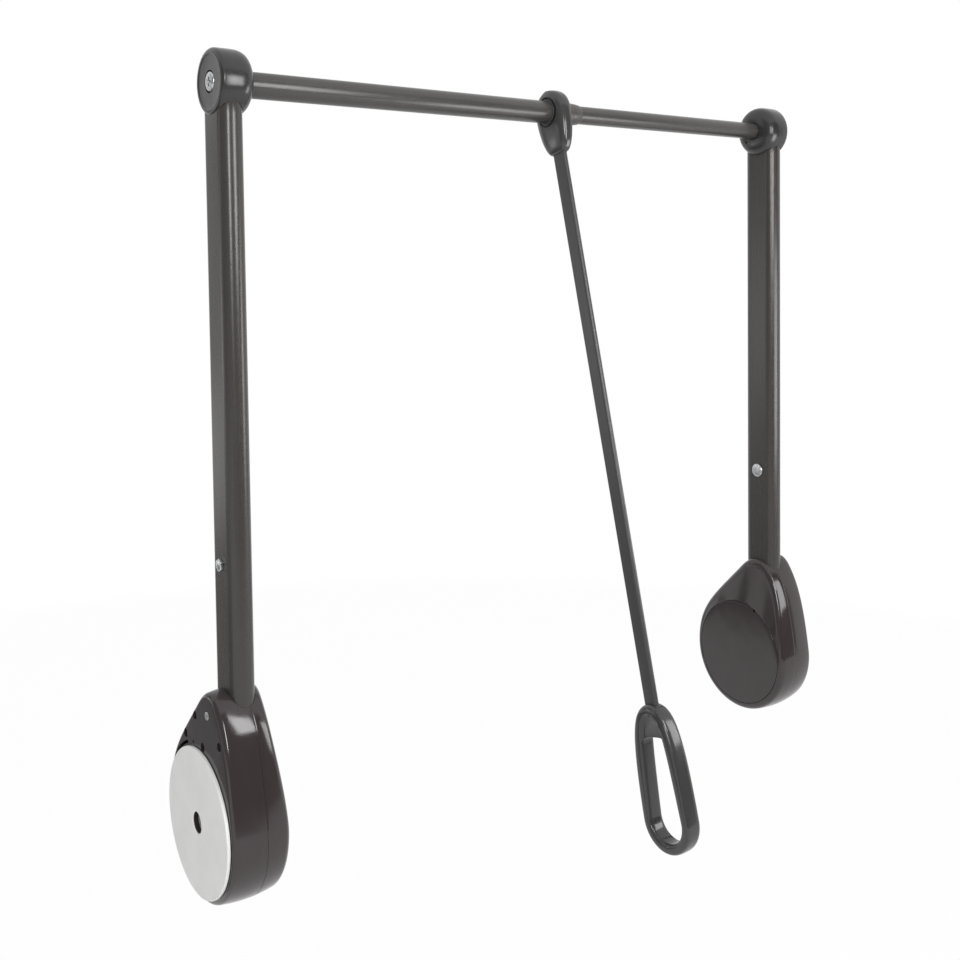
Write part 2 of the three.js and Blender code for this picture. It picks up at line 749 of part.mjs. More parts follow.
function anchorBolt() {
  const face = armInset - armDepth / 2 - gap;
  const end = armInset + armDepth / 2 - gap;
  return slab(hexagon(anchorHeadAcrossFlats, armAxisY, anchorHeight), face - anchorHeadHeight, face)
    .add(rod(anchorBoltRadius, face - anchorHeadHeight / 2, end, smallSegments, armAxisY, anchorHeight));
}

function anchorNut() {
  const face = armInset + armDepth / 2 + gap;
  const start = face - anchorSleeveLength;
  const top = face + anchorNutHeight;
  const body = turned([
    [start, anchorBoltRadius + gap], [start, anchorSleeveRadius], [face, anchorSleeveRadius],
    [face, anchorNutRadius], [face + anchorNutHeight / 2, anchorNutRadius],
    [top, anchorNutRadius * headCrownShare], [top, 0], [face + gap, 0],
    [face + gap, anchorBoltRadius + gap], [start, anchorBoltRadius + gap],
  ], shaftSegments, armAxisY, anchorHeight);
  const slot = anchorSlotWidth / 2;
  return body.subtract(block(
    [top - anchorSlotDepth, armAxisY - anchorNutRadius, anchorHeight - slot],
    [top + overrun, armAxisY + anchorNutRadius, anchorHeight + slot],
  ));
}

function axleBush() {
  const bore = axleRadius + runningGap;
  const start = webInset - gap - bushFlangeThickness;
  const end = webInset + webThickness;
  return turned([
    [start, bore], [start, bore + bushFlange], [webInset - gap, bore + bushFlange],
    [webInset - gap, bore + bushWall], [end, bore + bushWall], [end, bore], [start, bore],
  ], shaftSegments * 2);
}

function axleWasher() {
  const start = axleShoulder + gap;
  return tube(axleThread + gap, washerRadius, start, start + washerThickness, shaftSegments);
}

function axleNut() {
  const start = axleShoulder + washerThickness + gap * 2;
  return slab(hexagon(nutAcrossFlats, 0, 0), start, start + nutThickness)
    .subtract(rod(axleThread + gap, start - overrun, start + nutThickness + overrun, shaftSegments));
}

function shellScrew({ y, z }) {
  const seat = housingStandOff + shellScrewDepth - gap;
  return turned([
    [seat - shellScrewHeadHeight, 0], [seat - shellScrewHeadHeight, shellScrewHead * headCrownShare],
    [seat - shellScrewHeadHeight / 2, shellScrewHead], [seat, shellScrewHead], [seat, shellScrewRadius],
    [seat + shellScrewLength, shellScrewRadius], [seat + shellScrewLength, 0],
  ], smallSegments, y, z);
}

// A drum with a flat outer face and a domed inner side; the arm enters from below and the bar from the side.
function knob(barRadius) {
  const profile = [
    [knobInset + knobFaceSink, 0], [knobInset + knobFaceSink, knobRadius - knobEdge - knobFaceRim],
    [knobInset, knobRadius - knobEdge - knobFaceRim + knobFaceSink],
  ];
  [0, 0.4, 0.8].map((share) => share * (Math.PI / 2)).forEach((turn) => profile.push([
    knobInset + knobEdge * (1 - Math.cos(turn)), knobRadius - knobEdge * (1 - Math.sin(turn)),
  ]));
  const domeTurns = [0, 0.3, 0.52, 0.7, 0.86, 1].map((share) => share * (Math.PI / 2));
  const power = 2 / knobDomePower;
  domeTurns.forEach((turn) => profile.push([
    knobInset + knobDomeStart + (knobDepth - knobDomeStart) * Math.sin(turn) ** power,
    knobRadius * Math.max(0, Math.cos(turn)) ** power,
  ]));
  profile[profile.length - 1][1] = 0;
  const drum = turned(profile, discSegments, armAxisY, barHeight);
  const socket = column(oval(armDepth + gap * 2, armWidth + gap * 2, armInset, armAxisY),
    barHeight - knobRadius - knobStubDepth, armTop + gap);
  const stub = column(armBoreOval(gap), barHeight - knobRadius - knobStubDepth, armTop + gap * 2);
  const lock = {
    y: armAxisY - Math.cos(lockHoleAngle) * -lockHoleOut,
    z: barHeight + Math.sin(lockHoleAngle) * lockHoleOut,
  };
  return drum.subtract(socket).add(stub)
    .subtract(rod(barRadius + gap, barStop - gap, knobEnd + overrun, shaftSegments * 2, armAxisY, barHeight))
    .subtract(rod(knobRecessRadius, knobInset - overrun, knobInset + knobRecessDepth, shaftSegments,
      armAxisY, barHeight))
    .subtract(rod(knobScrewRadius + gap, knobInset, barStop, shaftSegments, armAxisY, barHeight))
    .subtract(rod(lockHoleRadius, knobEnd - lockHoleDepth, knobEnd + overrun, smallSegments, lock.y, lock.z));
}

function crossRecess(from, to, y, z) {
  const [long, short] = [crossLength / 2, crossWidth / 2];
  return block([from, y - long, z - short], [to, y + long, z + short])
    .add(block([from, y - short, z - long], [to, y + short, z + long]));
}

function knobScrew() {
  const seat = knobInset + knobRecessDepth - gap;
  const top = seat - knobScrewHeadHeight;
  return turned([
    [top, 0], [top, knobScrewHead * headCrownShare],
    [top + knobScrewHeadHeight / 2, knobScrewHead], [seat, knobScrewHead],
    [seat, knobScrewRadius], [seat + knobScrewLength, knobScrewRadius], [seat + knobScrewLength, 0],
  ], shaftSegments, armAxisY, barHeight)
    .subtract(crossRecess(top - overrun, top + crossDepth, armAxisY, barHeight));
}

// Threaded plug pressed into the bar's end.
function barPlug(barRadius) {
  return tube(knobScrewRadius + gap, barRadius - barWall - gap, barStop, barStop + barPlugLength,
    shaftSegments, armAxisY, barHeight);
}

function outerBarTube() {
  return tube(outerBarRadius - barWall, outerBarRadius, barStop, outerBarEnd, shaftSegments * 2,
    armAxisY, barHeight);
}

function innerBarTube() {
  return tube(innerBarRadius - barWall, innerBarRadius, innerBarStart, span - barStop, shaftSegments * 2,
    armAxisY, barHeight);
}

// Nylon plug on the thin tube's hidden end that guides it in the thick one.
function barGuidePlug() {
  const flangeRadius = outerBarRadius - barWall - gap;
  const start = innerBarStart - gap;
  return turned([
    [start - guideFlange, 0], [start - guideFlange, flangeRadius], [start, flangeRadius],
    [start, innerBarRadius - barWall - gap], [start + guidePlugLength, innerBarRadius - barWall - gap],
    [start + guidePlugLength, 0],
  ], shaftSegments, armAxisY, barHeight);
}

function ringFlangeStart() {
  return pullInset + ringWidth / 2 - ringCounterboreDepth + gap;
}

function barBush() {
  const sleeveBore = outerBarRadius + gap;
  const sleeveRadius = sleeveBore + bushSleeve;
  const flangeStart = ringFlangeStart();
  const flangeEnd = flangeStart + bushRingFlangeThickness;
  const endWall = outerBarEnd + gap;
  const bore = innerBarRadius + gap;
  const groove = clipGroove();
  const start = groove.start - gap - bushLip;
  return turned([
    [start, sleeveBore], [start, sleeveRadius],
    [groove.start - gap, sleeveRadius], [groove.start - gap, sleeveRadius - bushSleeve / 2],
    [groove.end + gap, sleeveRadius - bushSleeve / 2], [groove.end + gap, sleeveRadius],
    [flangeStart, sleeveRadius], [flangeStart, bushRingFlange], [flangeEnd, bushRingFlange],
    [flangeEnd, sleeveRadius], [endWall + bushSleeve, sleeveRadius],
    [endWall + bushSleeve * 2, bushCollarRadius], [bushCollarEnd - bushCollarRound, bushCollarRadius],
    [bushCollarEnd, bushCollarRadius - bushCollarRound / 2], [bushCollarEnd, bore],
    [endWall, bore], [endWall, sleeveBore], [start, sleeveBore],
  ], shaftSegments * 2, armAxisY, barHeight);
}

function clipGroove() {
  const start = pullInset - ringWidth / 2 + ringCounterboreDepth - gap - clipThickness;
  return { start, end: start + clipThickness };
}

// Spring clip that keeps the pull ring on its bush.
function ringClip() {
  const groove = clipGroove();
  const bore = outerBarRadius + gap + bushSleeve / 2 + gap / 2;
  const clip = tube(bore, bore + clipDepth, groove.start, groove.end, shaftSegments * 2, armAxisY, barHeight);
  const mouth = clipDepth / 2;
  return clip.subtract(block(
    [groove.start - overrun, armAxisY - mouth, barHeight],
    [groove.end + overrun, armAxisY + mouth, barHeight + ringRadius],
  ));
}

// Half width and half depth of the pull ring at a height below the bar axis.
function ringSection(z) {
  const half = ringWidth / 2;
  if (z >= 0) {
    const share = z / ringRadius;
    return {
      width: ringRadius * Math.sqrt(1 - share ** 2),
      depth: half * (1 - ringEdgeShare * share ** 4),
    };
  }
  const share = -z / ringTail;
  return {
    width: ringTailWidth / 2 + (ringRadius - ringTailWidth / 2) * Math.sqrt(1 - share ** 2),
    depth: ringTailDepth / 2 + (half - ringTailDepth / 2) * Math.sqrt(1 - share ** 2),
  };
}

function rodOval(width, clearance) {
  return oval(rodDepth + clearance * 2, width + clearance * 2, 0, 0);
}

// A screw from the far side through the rod and its socket; its hole is the same form with a gap.
function rodScrew(place, sink, clearance) {
  const top = sink;
  const end = top - rodScrewLength - clearance;
  return turned([
    [end, 0], [end, rodScrewRadius + clearance], [top - rodScrewHead / 2, rodScrewRadius + clearance],
    [top, rodScrewHead + clearance], [top + (clearance ? overrun : 0), rodScrewHead + clearance],
    [top + (clearance ? overrun : 0), 0],
  ], smallSegments, 0, -place);
}

function ringScrewSink() {
  return ringSection(-ringScrewPlace).depth - gap;
}

function pullRing() {
  const stations = [0.995, 0.94, 0.82, 0.62, 0.34, 0].map((share) => share * ringRadius);
  [0.3, 0.6, 0.8, 0.94, 1].forEach((share) => stations.push(-share * ringTail));
  const rings = stations.map((z) => {
    const { width, depth } = ringSection(z);
    return Array.from({ length: sectionPoints }, (_, i) => {
      const angle = (i / sectionPoints) * Math.PI * 2;
      const round = (value) => Math.sign(value) * Math.abs(value) ** (2 / ringSectionPower);
      return new THREE.Vector3(depth * round(Math.cos(angle)), width * round(Math.sin(angle)), z);
    });
  });
  const body = lofted(rings, (point) => new THREE.Vector2(point.x, point.y));
  const bore = outerBarRadius + gap + bushSleeve + runningGap;
  const half = ringWidth / 2;
  const socket = column(rodOval(rodTopWidth, gap), -ringTail - overrun, -rodStart + gap);
  return body
    .subtract(rod(bore, -half - overrun, half + overrun, shaftSegments * 2))
    .subtract(rod(ringCounterbore, -half - overrun, -half + ringCounterboreDepth, shaftSegments * 2))
    .subtract(rod(ringCounterbore, half - ringCounterboreDepth, half + overrun, shaftSegments * 2))
    .subtract(socket)
    .subtract(rodScrew(ringScrewPlace, ringScrewSink(), gap));
}

function pullRod() {
  const ring = (width, z) => rodOval(width, 0).getPoints(arcSegments).slice(0, -1)
    .map((point) => new THREE.Vector3(point.x, point.y, z));
  return lofted([ring(rodBottomWidth, -rodEnd), ring(rodTopWidth, -rodStart)],
    (point) => new THREE.Vector2(point.x, point.y))
    .subtract(rodScrew(ringScrewPlace, ringScrewSink(), gap))
    .subtract(rodScrew(handleScrewPlace, handleDepth / 2 - gap, gap));
}

function handle() {
  const half = handleWidth / 2;
  const foot = handleTop + handleLength;
  const shoulder = -(handleTop + (handleLength - half) * handleShoulderShare);
  const bulge = -(handleTop + (handleLength - half) * handleBulgeShare);
  const shape = new THREE.Shape();
  shape.moveTo(0, -handleTop);
  shape.bezierCurveTo(-handleTopBulge, -handleTop, -handleShoulderBulge, bulge, -half, shoulder);
  shape.lineTo(-half, -(foot - half));
  shape.absellipse(0, -(foot - half), half, half, Math.PI, Math.PI * 2);
  shape.lineTo(half, shoulder);
  shape.bezierCurveTo(handleShoulderBulge, bulge, handleTopBulge, -handleTop, 0, -handleTop);
  const inner = half - handleSide;
  const top = -(handleTop + handleWeb);
  const low = -(foot - half);
  const opening = new THREE.Path();
  opening.moveTo(-openingTopWidth / 2, top - openingTopCorner);
  opening.quadraticCurveTo(-openingTopWidth / 2, top, -openingTopWidth / 2 + openingTopCorner, top);
  opening.lineTo(openingTopWidth / 2 - openingTopCorner, top);
  opening.quadraticCurveTo(openingTopWidth / 2, top, openingTopWidth / 2, top - openingTopCorner);
  opening.lineTo(inner, low);
  opening.absellipse(0, low, inner, half - handleBottom, 0, -Math.PI, true);
  opening.closePath();
  shape.holes.push(opening);
  const loop = slab(shape, -handleDepth / 2 + handleRound, handleDepth / 2 - handleRound, {
    bevelEnabled: true, bevelThickness: handleRound, bevelSize: handleRound, bevelOffset: -handleRound,
    bevelSegments: 2, curveSegments: handleSegments,
  });
  return loop
    .subtract(column(rodOval(rodBottomWidth, gap), -rodEnd - gap, -handleTop + overrun))
    .subtract(rodScrew(handleScrewPlace, handleDepth / 2 - gap, gap));
}

const lift = new THREE.Group();

function piece(name, paint, solid, parent = lift) {
  const mesh = new THREE.Mesh(geometryOf(solid), new THREE.MeshStandardMaterial(paints[paint]));
  mesh.name = name;
  parent.add(mesh);
  return mesh;
}

// Reflects a piece of the left side to the right wall.
function mirrored(solid) {
  const geometry = geometryOf(solid);
  geometry.scale(-1, 1, 1);
  geometry.translate(span, 0, 0);
  return solidOf(geometry);
}

const sidePieces = {
  wall_disc: ['nylon', wallDisc],
  axle: ['steel', axle],
  pinion: ['steel', pinion],
  axle_bush: ['nylon', axleBush],
  axle_washer: ['zinc', axleWasher],
  axle_nut: ['zinc', axleNut],
  outer_shell: ['shell', outerShell],
  inner_shell: ['shell', innerShell],
  round_cover: ['shell', roundCover],
  clamp_pin: ['zinc', clampPin],
  rack: ['steel', rack],
  spring_seat: ['nylon', springSeat],
  spring: ['steel', spring],
  arm_tube: ['arm', armTube],
  anchor_block: ['nylon', anchorBlock],
  anchor_bolt: ['zinc', anchorBolt],
  anchor_nut: ['zinc', anchorNut],
  knob_screw: ['zinc', knobScrew],
};

shellScrewPlaces.forEach((place, i) => {
  sidePieces[`shell_screw_${i + 1}`] = ['zinc', () => shellScrew(place)];
});

for (const [name, [paint, make]] of Object.entries(sidePieces)) {
  const solid = make();
  piece(`left_${name}`, paint, solid);
  piece(`right_${name}`, paint, mirrored(solid));
}

piece('left_knob', 'knob', knob(outerBarRadius));
piece('right_knob', 'knob', mirrored(knob(innerBarRadius)));
piece('left_bar_plug', 'steel', barPlug(outerBarRadius));
piece('right_bar_plug', 'steel', mirrored(barPlug(innerBarRadius)));
piece('outer_bar_tube', 'bar', outerBarTube());
piece('inner_bar_tube', 'bar', innerBarTube());
piece('bar_guide_plug', 'nylon', barGuidePlug());
piece('bar_bush', 'dark', barBush());
piece('ring_clip', 'dark', ringClip());

const pull = new THREE.Group();
pull.position.set(pullInset, armAxisY, barHeight);
pull.rotation.x = -pullLean;
lift.add(pull);
piece('pull_ring', 'pull', pullRing(), pull);
piece('pull_rod', 'pull', pullRod(), pull);
piece('handle', 'pull', handle(), pull);
piece('ring_screw', 'zinc', rodScrew(ringScrewPlace, ringScrewSink(), 0), pull);
piece('handle_screw', 'zinc', rodScrew(handleScrewPlace, handleDepth / 2 - gap, 0), pull);

export default lift;
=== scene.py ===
"""Looks of a pull down closet rod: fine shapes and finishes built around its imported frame.

Sizes are in millimetres, as on a drawing, and Bench.solid turns them into metres. X runs along the bar from
the left wall, -Y points to the person who uses the rod and +Z up. The origin is on the left swing axis, at
the wall.
"""

import logging
import math
from collections.abc import Callable, Sequence
from dataclasses import dataclass
from enum import Enum

import bmesh
import bpy
import numpy as np
from mathutils import Matrix, Vector


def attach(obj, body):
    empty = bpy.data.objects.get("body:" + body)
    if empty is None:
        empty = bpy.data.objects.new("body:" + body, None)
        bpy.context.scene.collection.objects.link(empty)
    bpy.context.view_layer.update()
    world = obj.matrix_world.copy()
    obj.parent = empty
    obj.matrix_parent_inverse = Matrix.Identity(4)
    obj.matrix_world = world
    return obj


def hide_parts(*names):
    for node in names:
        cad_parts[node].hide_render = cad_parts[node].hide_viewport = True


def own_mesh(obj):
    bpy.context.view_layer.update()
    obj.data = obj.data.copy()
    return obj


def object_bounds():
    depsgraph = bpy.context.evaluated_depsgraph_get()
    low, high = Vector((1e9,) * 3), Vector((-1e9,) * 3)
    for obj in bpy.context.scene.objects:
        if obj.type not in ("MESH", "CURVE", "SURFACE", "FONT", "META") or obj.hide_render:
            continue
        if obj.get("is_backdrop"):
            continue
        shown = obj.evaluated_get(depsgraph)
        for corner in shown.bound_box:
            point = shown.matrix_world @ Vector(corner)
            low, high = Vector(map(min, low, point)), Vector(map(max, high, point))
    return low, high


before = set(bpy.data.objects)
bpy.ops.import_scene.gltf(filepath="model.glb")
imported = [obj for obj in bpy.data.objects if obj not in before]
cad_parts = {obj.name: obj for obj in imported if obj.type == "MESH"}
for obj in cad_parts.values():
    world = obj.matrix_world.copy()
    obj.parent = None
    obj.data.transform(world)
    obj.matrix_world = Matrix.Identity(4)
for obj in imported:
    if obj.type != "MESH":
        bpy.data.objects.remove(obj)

Array = np.ndarray
Pair = tuple[float, float]
Triple = tuple[float, float, float]

MM = 0.001
PHOTO_SIZE = 960
SENSOR = 36.0
WHITE = (1.0, 1.0, 1.0, 1.0)
EVEN = (1.0, 1.0, 1.0)

# What several pieces share: the walls, the bar's axis, the arm tube, the clamp pin, the bar and the ring
SPAN = 859.0
BAR_Z = 733.0
ARM_X = 34.6
ARM_Y = -22.5
ARM_WIDTH = 51.2
ARM_DEPTH = 25.2
ARM_WALL = 1.5
ARM_FOOT = 96.0
ARM_TOP = 717.75
PIN_Z = 114.0
PIN = 3.0
OUTER_BAR = 13.25
INNER_BAR = 10.85
BAR_STOP = 30.0
RING_X = 448.0
RING_WIDTH = 23.4
RING_SINK = 3.3

# The gap between two pieces, and how far a tool passes the material that it cuts
GAP = 0.3
PASS = 2.0

log = logging.getLogger("closet_rod")


class Side(Enum):
    """The two ends of the rod, with the CAD bodies that belong to each."""

    LEFT = "left"
    RIGHT = "right"

    @property
    def hub(self) -> str:
        """The body that is fixed to the wall."""
        return f"{self.value}_hub"

    @property
    def arm(self) -> str:
        """The body that swings."""
        return f"{self.value}_arm"

    @property
    def bar(self) -> float:
        """The radius of the bar's tube at this end."""
        return OUTER_BAR if self is Side.LEFT else INNER_BAR

    def node(self, name: str) -> str:
        """The CAD node or piece of that name on this side."""
        return f"{self.value}_{name}"

    def local(self, x: Array | float) -> Array | float:
        """X counted from this side's own wall, or from the left wall again."""
        return x if self is Side.LEFT else SPAN - x


class Glow(Enum):
    """What a lamp lights."""

    GLOSS = "gloss"
    MATT = "matt"


class Cut(Enum):
    """What a tool does to a solid."""

    REMOVE = "DIFFERENCE"
    ADD = "UNION"
    KEEP = "INTERSECT"


# Shapes


def smoothstep(value: Array, low: float, high: float) -> Array:
    """Goes smoothly from 0 at low to 1 at high: 3t^2 - 2t^3 of the share t of the way.

    Args:
        value: where to read it.
        low: where it starts to rise.
        high: where it reaches 1.

    Returns:
        The share at each value.
    """
    t = np.clip((np.asarray(value, float) - low) / (high - low), 0.0, 1.0)
    return t * t * (3.0 - 2.0 * t)


def bezier(points: Sequence[Pair], steps: int) -> Array:
    """Points of a cubic curve: (1-t)^3 A + 3(1-t)^2 t B + 3(1-t) t^2 C + t^3 D.

    Args:
        points: the four control points.
        steps: how many parts the curve has.

    Returns:
        The points without the last one.
    """
    t = np.linspace(0.0, 1.0, steps, endpoint=False)[:, None]
    a, b, c, d = (np.asarray(p, float) for p in points)
    return (1 - t) ** 3 * a + 3 * (1 - t) ** 2 * t * b + 3 * (1 - t) * t**2 * c + t**3 * d


def arc(centre: Pair, radii: Pair, start: float, end: float, steps: int) -> Array:
    """Points of an elliptical arc: centre + radii times (cos, sin) of the angle.

    Args:
        centre: the middle of the ellipse.
        radii: its two half axes.
        start: first angle in degrees.
        end: last angle in degrees.
        steps: how many parts the arc has.

    Returns:
        steps + 1 points.
    """
    angle = np.radians(np.linspace(start, end, steps + 1))
    return np.asarray(centre, float) + np.stack([radii[0] * np.cos(angle), radii[1] * np.sin(angle)], axis=1)


def spaced(points: Array, count: int, closed: bool = True) -> Array:
    """Sets points at equal steps of the path's own length, by straight interpolation.

    Args:
        points: the path.
        count: how many points are wanted.
        closed: whether the path returns to its start.

    Returns:
        The new points.
    """
    path = np.vstack([points, points[:1]]) if closed else points
    length = np.concatenate([[0.0], np.cumsum(np.linalg.norm(np.diff(path, axis=0), axis=1))])
    wanted = np.linspace(0.0, length[-1], count, endpoint=not closed)
    return np.stack([np.interp(wanted, length, path[:, k]) for k in range(path.shape[1])], axis=1)


def rounded(corners: Sequence[Triple], steps: int = 5, closed: bool = False) -> Array:
    """Rounds the corners of a profile: each corner P becomes the curve (1-t)^2 A + 2(1-t)t P + t^2 B.

    A and B are the points that lie the rounding away from P on its two sides.

    Args:
        corners: each corner and its rounding.
        steps: how many parts each rounding has.
        closed: whether the profile returns to its start.

    Returns:
        The points of the profile.
    """
    places = np.array([corner[:2] for corner in corners], float)
    t = np.linspace(0.0, 1.0, steps + 1)[:, None]
    made = []
    last = len(corners) - 1
    for i, (x, y, radius) in enumerate(corners):
        if radius <= 0 or (not closed and i in (0, last)):
            made.append(np.array([[x, y]]))
            continue
        here = places[i]
        before, after = places[i - 1], places[(i + 1) % len(corners)]
        a = here + (before - here) / np.linalg.norm(before - here) * radius
        b = here + (after - here) / np.linalg.norm(after - here) * radius
        made.append((1 - t) ** 2 * a + 2 * (1 - t) * t * here + t**2 * b)
    return np.vstack(made)


def oval(depth: float, width: float, steps: int) -> Array:
    """An oval about the origin: straight sides along its second axis, half round ends.

    Args:
        depth: its size along the first axis, across the straight sides.
        width: its size along the second axis.
        steps: how many parts each half round has.

    Returns:
        The points, anticlockwise.
    """
    radius, reach = depth / 2, (width - depth) / 2
    upper = arc((0, reach), (radius, radius), 0, 180, steps)
    lower = arc((0, -reach), (radius, radius), 180, 360, steps)
    return np.vstack([upper, lower])


def level(outline: Array, z: float) -> Array:
    """An outline of X and Y at a height."""
    return np.column_stack([outline, np.full(len(outline), z)])


def upright(outline: Array, x: Array | float) -> Array:
    """An outline of Y and Z at a place along X."""
    return np.column_stack([np.full(len(outline), x), outline])


def inward(spots: Array) -> Array:
    """Inward unit normals of a closed anticlockwise outline: the step between the neighbours, turned."""
    along = np.roll(spots, -1, 0) - np.roll(spots, 1, 0)
    along /= np.linalg.norm(along, axis=1, keepdims=True)
    return np.stack([-along[:, 1], along[:, 0]], axis=1)


def squared(count: int, power: float) -> tuple[Array, Array]:
    """Points of the rounded square |x|^p + |y|^p = 1: cos and sin of an angle to the power 2/p, signs kept.

    Args:
        count: how many points are wanted.
        power: p, where 2 is a circle.

    Returns:
        Their x and their y.
    """
    angle = np.linspace(0.0, 2 * np.pi, count, endpoint=False)
    x, y = (np.sign(v) * np.abs(v) ** (2 / power) for v in (np.cos(angle), np.sin(angle)))
    return x, y


def off_arm(middle: Array, side: Side) -> Array:
    """How far points are from the outline of the arm's slot, which is the arm's oval and the gap round it.

    Args:
        middle: the points.
        side: the side that they belong to.

    Returns:
        The distance at each point.
    """
    reach = (ARM_WIDTH - ARM_DEPTH) / 2
    y = np.maximum(np.abs(middle[:, 1] - ARM_Y) - reach, 0.0)
    return np.abs(np.hypot(side.local(middle[:, 0]) - ARM_X, y) - (ARM_DEPTH / 2 + GAP))


@dataclass(frozen=True)
class Form:
    """A closed surface in millimetres: its points, and its faces in blocks of equal corner count."""

    points: Array
    faces: tuple[Array, ...]

    @staticmethod
    def grid(rows: Array, ring: bool = False) -> "Form":
        """Skins a grid of rows of points. Each row closes on itself, and open ends are capped.

        Args:
            rows: points as (rows, points in a row, 3).
            ring: whether the last row joins the first.

        Returns:
            The form, with its faces outwards.
        """
        count, across = rows.shape[:2]
        numbers = np.arange(count * across).reshape(count, across)
        lower = numbers if ring else numbers[:-1]
        upper = np.roll(numbers, -1, axis=0) if ring else numbers[1:]
        quads = np.stack([lower, np.roll(lower, -1, 1), np.roll(upper, -1, 1), upper], axis=-1).reshape(-1, 4)
        blocks = (quads,) if ring else (quads, numbers[:1, ::-1], numbers[-1:])
        return Form(rows.reshape(-1, 3), blocks).outwards()

    @staticmethod
    def turned(profile: Array, sides: int = 96, y: float = 0.0, z: float = 0.0, ring: bool = False) -> "Form":
        """Turns a profile about an axis along X: the point (x, r) becomes (x, y + r cos a, z + r sin a).

        Args:
            profile: points as (along X, radius).
            sides: how many facets go round.
            y: the axis's place.
            z: the axis's place.
            ring: whether the profile returns to its start. Otherwise it starts and ends on the axis.

        Returns:
            The form.
        """
        angle = np.linspace(0.0, 2 * np.pi, sides, endpoint=False)
        x = np.repeat(profile[:, :1], sides, axis=1)
        out = profile[:, 1:]
        rows = np.stack([x, y + out * np.cos(angle), z + out * np.sin(angle)], axis=-1)
        return Form.grid(rows, ring)

    @staticmethod
    def peg(
        radius: float, low: float, high: float, y: float = 0.0, z: float = 0.0, sides: int = 40,
    ) -> "Form":
        """A round rod along X, between two places."""
        profile = np.array([[low, 0.0], [low, radius], [high, radius], [high, 0.0]])
        return Form.turned(profile, sides, y, z)

    @staticmethod
    def pillar(outline: Array, low: float, high: float, axis: int = 2, place: Pair = (0.0, 0.0)) -> "Form":
        """Carries a flat outline straight along an axis.

        Args:
            outline: points in the plane across the axis: X and Y for axis 2, Y and Z for axis 0.
            low: where it starts.
            high: where it ends.
            axis: 0 for X or 2 for Z.
            place: where the outline's origin goes.

        Returns:
            The form.
        """
        put = upright if axis == 0 else level
        return Form.grid(np.array([put(outline + np.asarray(place), at) for at in (low, high)]))

    @staticmethod
    def block(low: Sequence[float], high: Sequence[float]) -> "Form":
        """A tool with flat sides between two corners."""
        (x0, y0, z0), (x1, y1, z1) = low, high
        return Form.pillar(np.array([[x0, y0], [x1, y0], [x1, y1], [x0, y1]], float), z0, z1)

    @staticmethod
    def together(forms: Sequence["Form"]) -> "Form":
        """Several forms as one, each keeping its own surface."""
        starts = np.cumsum([0, *(len(f.points) for f in forms)])
        blocks = tuple(block + start for f, start in zip(forms, starts, strict=False) for block in f.faces)
        return Form(np.vstack([f.points for f in forms]), blocks)

    def volume(self) -> float:
        """The enclosed volume: a sixth of the sum of a . (b x c) over the triangles of every face's fan."""
        total = 0.0
        for block in self.faces:
            corners = self.points[block]
            a, b, c = corners[:, :1], corners[:, 1:-1], corners[:, 2:]
            total += float(np.sum(a * np.cross(b, c)))
        return total / 6.0

    def outwards(self) -> "Form":
        """The same form with its faces outwards, which is where its volume is positive."""
        return self if self.volume() > 0 else Form(self.points, tuple(block[:, ::-1] for block in self.faces))

    def on(self, side: Side | None) -> "Form":
        """The form as it is, or reflected in the middle of the span for the right side."""
        if side is not Side.RIGHT:
            return self
        return Form(self.points * [-1.0, 1.0, 1.0] + [SPAN, 0.0, 0.0], self.faces).outwards()


# Shader graphs


class Value:
    """A number in a shader graph. Python's operators on it add Math nodes."""

    def __init__(self, graph: "Graph", socket: bpy.types.NodeSocket) -> None:
        """Keeps the graph and the output socket."""
        self.graph = graph
        self.socket = socket

    def _maths(self, operation: str, *inputs: "Value | float", clamp: bool = False) -> "Value":
        """A Math node with these inputs."""
        settings = {"operation": operation, "use_clamp": clamp}
        return self.graph.node("ShaderNodeMath", settings, dict(enumerate(inputs))).out()

    def __add__(self, other: "Value | float") -> "Value":
        """Sum."""
        return self._maths("ADD", self, other)

    def __radd__(self, other: float) -> "Value":
        """Sum with a number on the left."""
        return self._maths("ADD", other, self)

    def __sub__(self, other: "Value | float") -> "Value":
        """Difference."""
        return self._maths("SUBTRACT", self, other)

    def __rsub__(self, other: float) -> "Value":
        """Difference with a number on the left."""
        return self._maths("SUBTRACT", other, self)

    def __mul__(self, other: "Value | float") -> "Value":
        """Product."""
        return self._maths("MULTIPLY", self, other)

    def __rmul__(self, other: float) -> "Value":
        """Product with a number on the left."""
        return self._maths("MULTIPLY", other, self)

    def __truediv__(self, other: "Value | float") -> "Value":
        """Quotient."""
        return self._maths("DIVIDE", self, other)

    def __rtruediv__(self, other: float) -> "Value":
        """Quotient with a number on the left."""
        return self._maths("DIVIDE", other, self)

    def sine(self) -> "Value":
        """Its sine."""
        return self._maths("SINE", self)

    def either(self, other: "Value | float") -> "Value":
        """The larger of the two."""
        return self._maths("MAXIMUM", self, other)

    def between(self, low: float, high: float) -> "Value":
        """A smooth step from 0 at low to 1 at high."""
        settings = {"interpolation_type": "SMOOTHSTEP"}
        inputs = {"Value": self, "From Min": low, "From Max": high}
        return self.graph.node("ShaderNodeMapRange", settings, inputs).out()


class Step:
    """A node in a graph, with short ways to its outputs."""

    def __init__(self, graph: "Graph", node: bpy.types.Node) -> None:
        """Keeps the graph and the node."""
        self.graph = graph
        self.node = node

    def out(self, name: str | int = 0) -> Value:
        """One of its outputs, by name or number."""
        return Value(self.graph, self.node.outputs[name])


Source = Value | Step | float | tuple[float, ...]


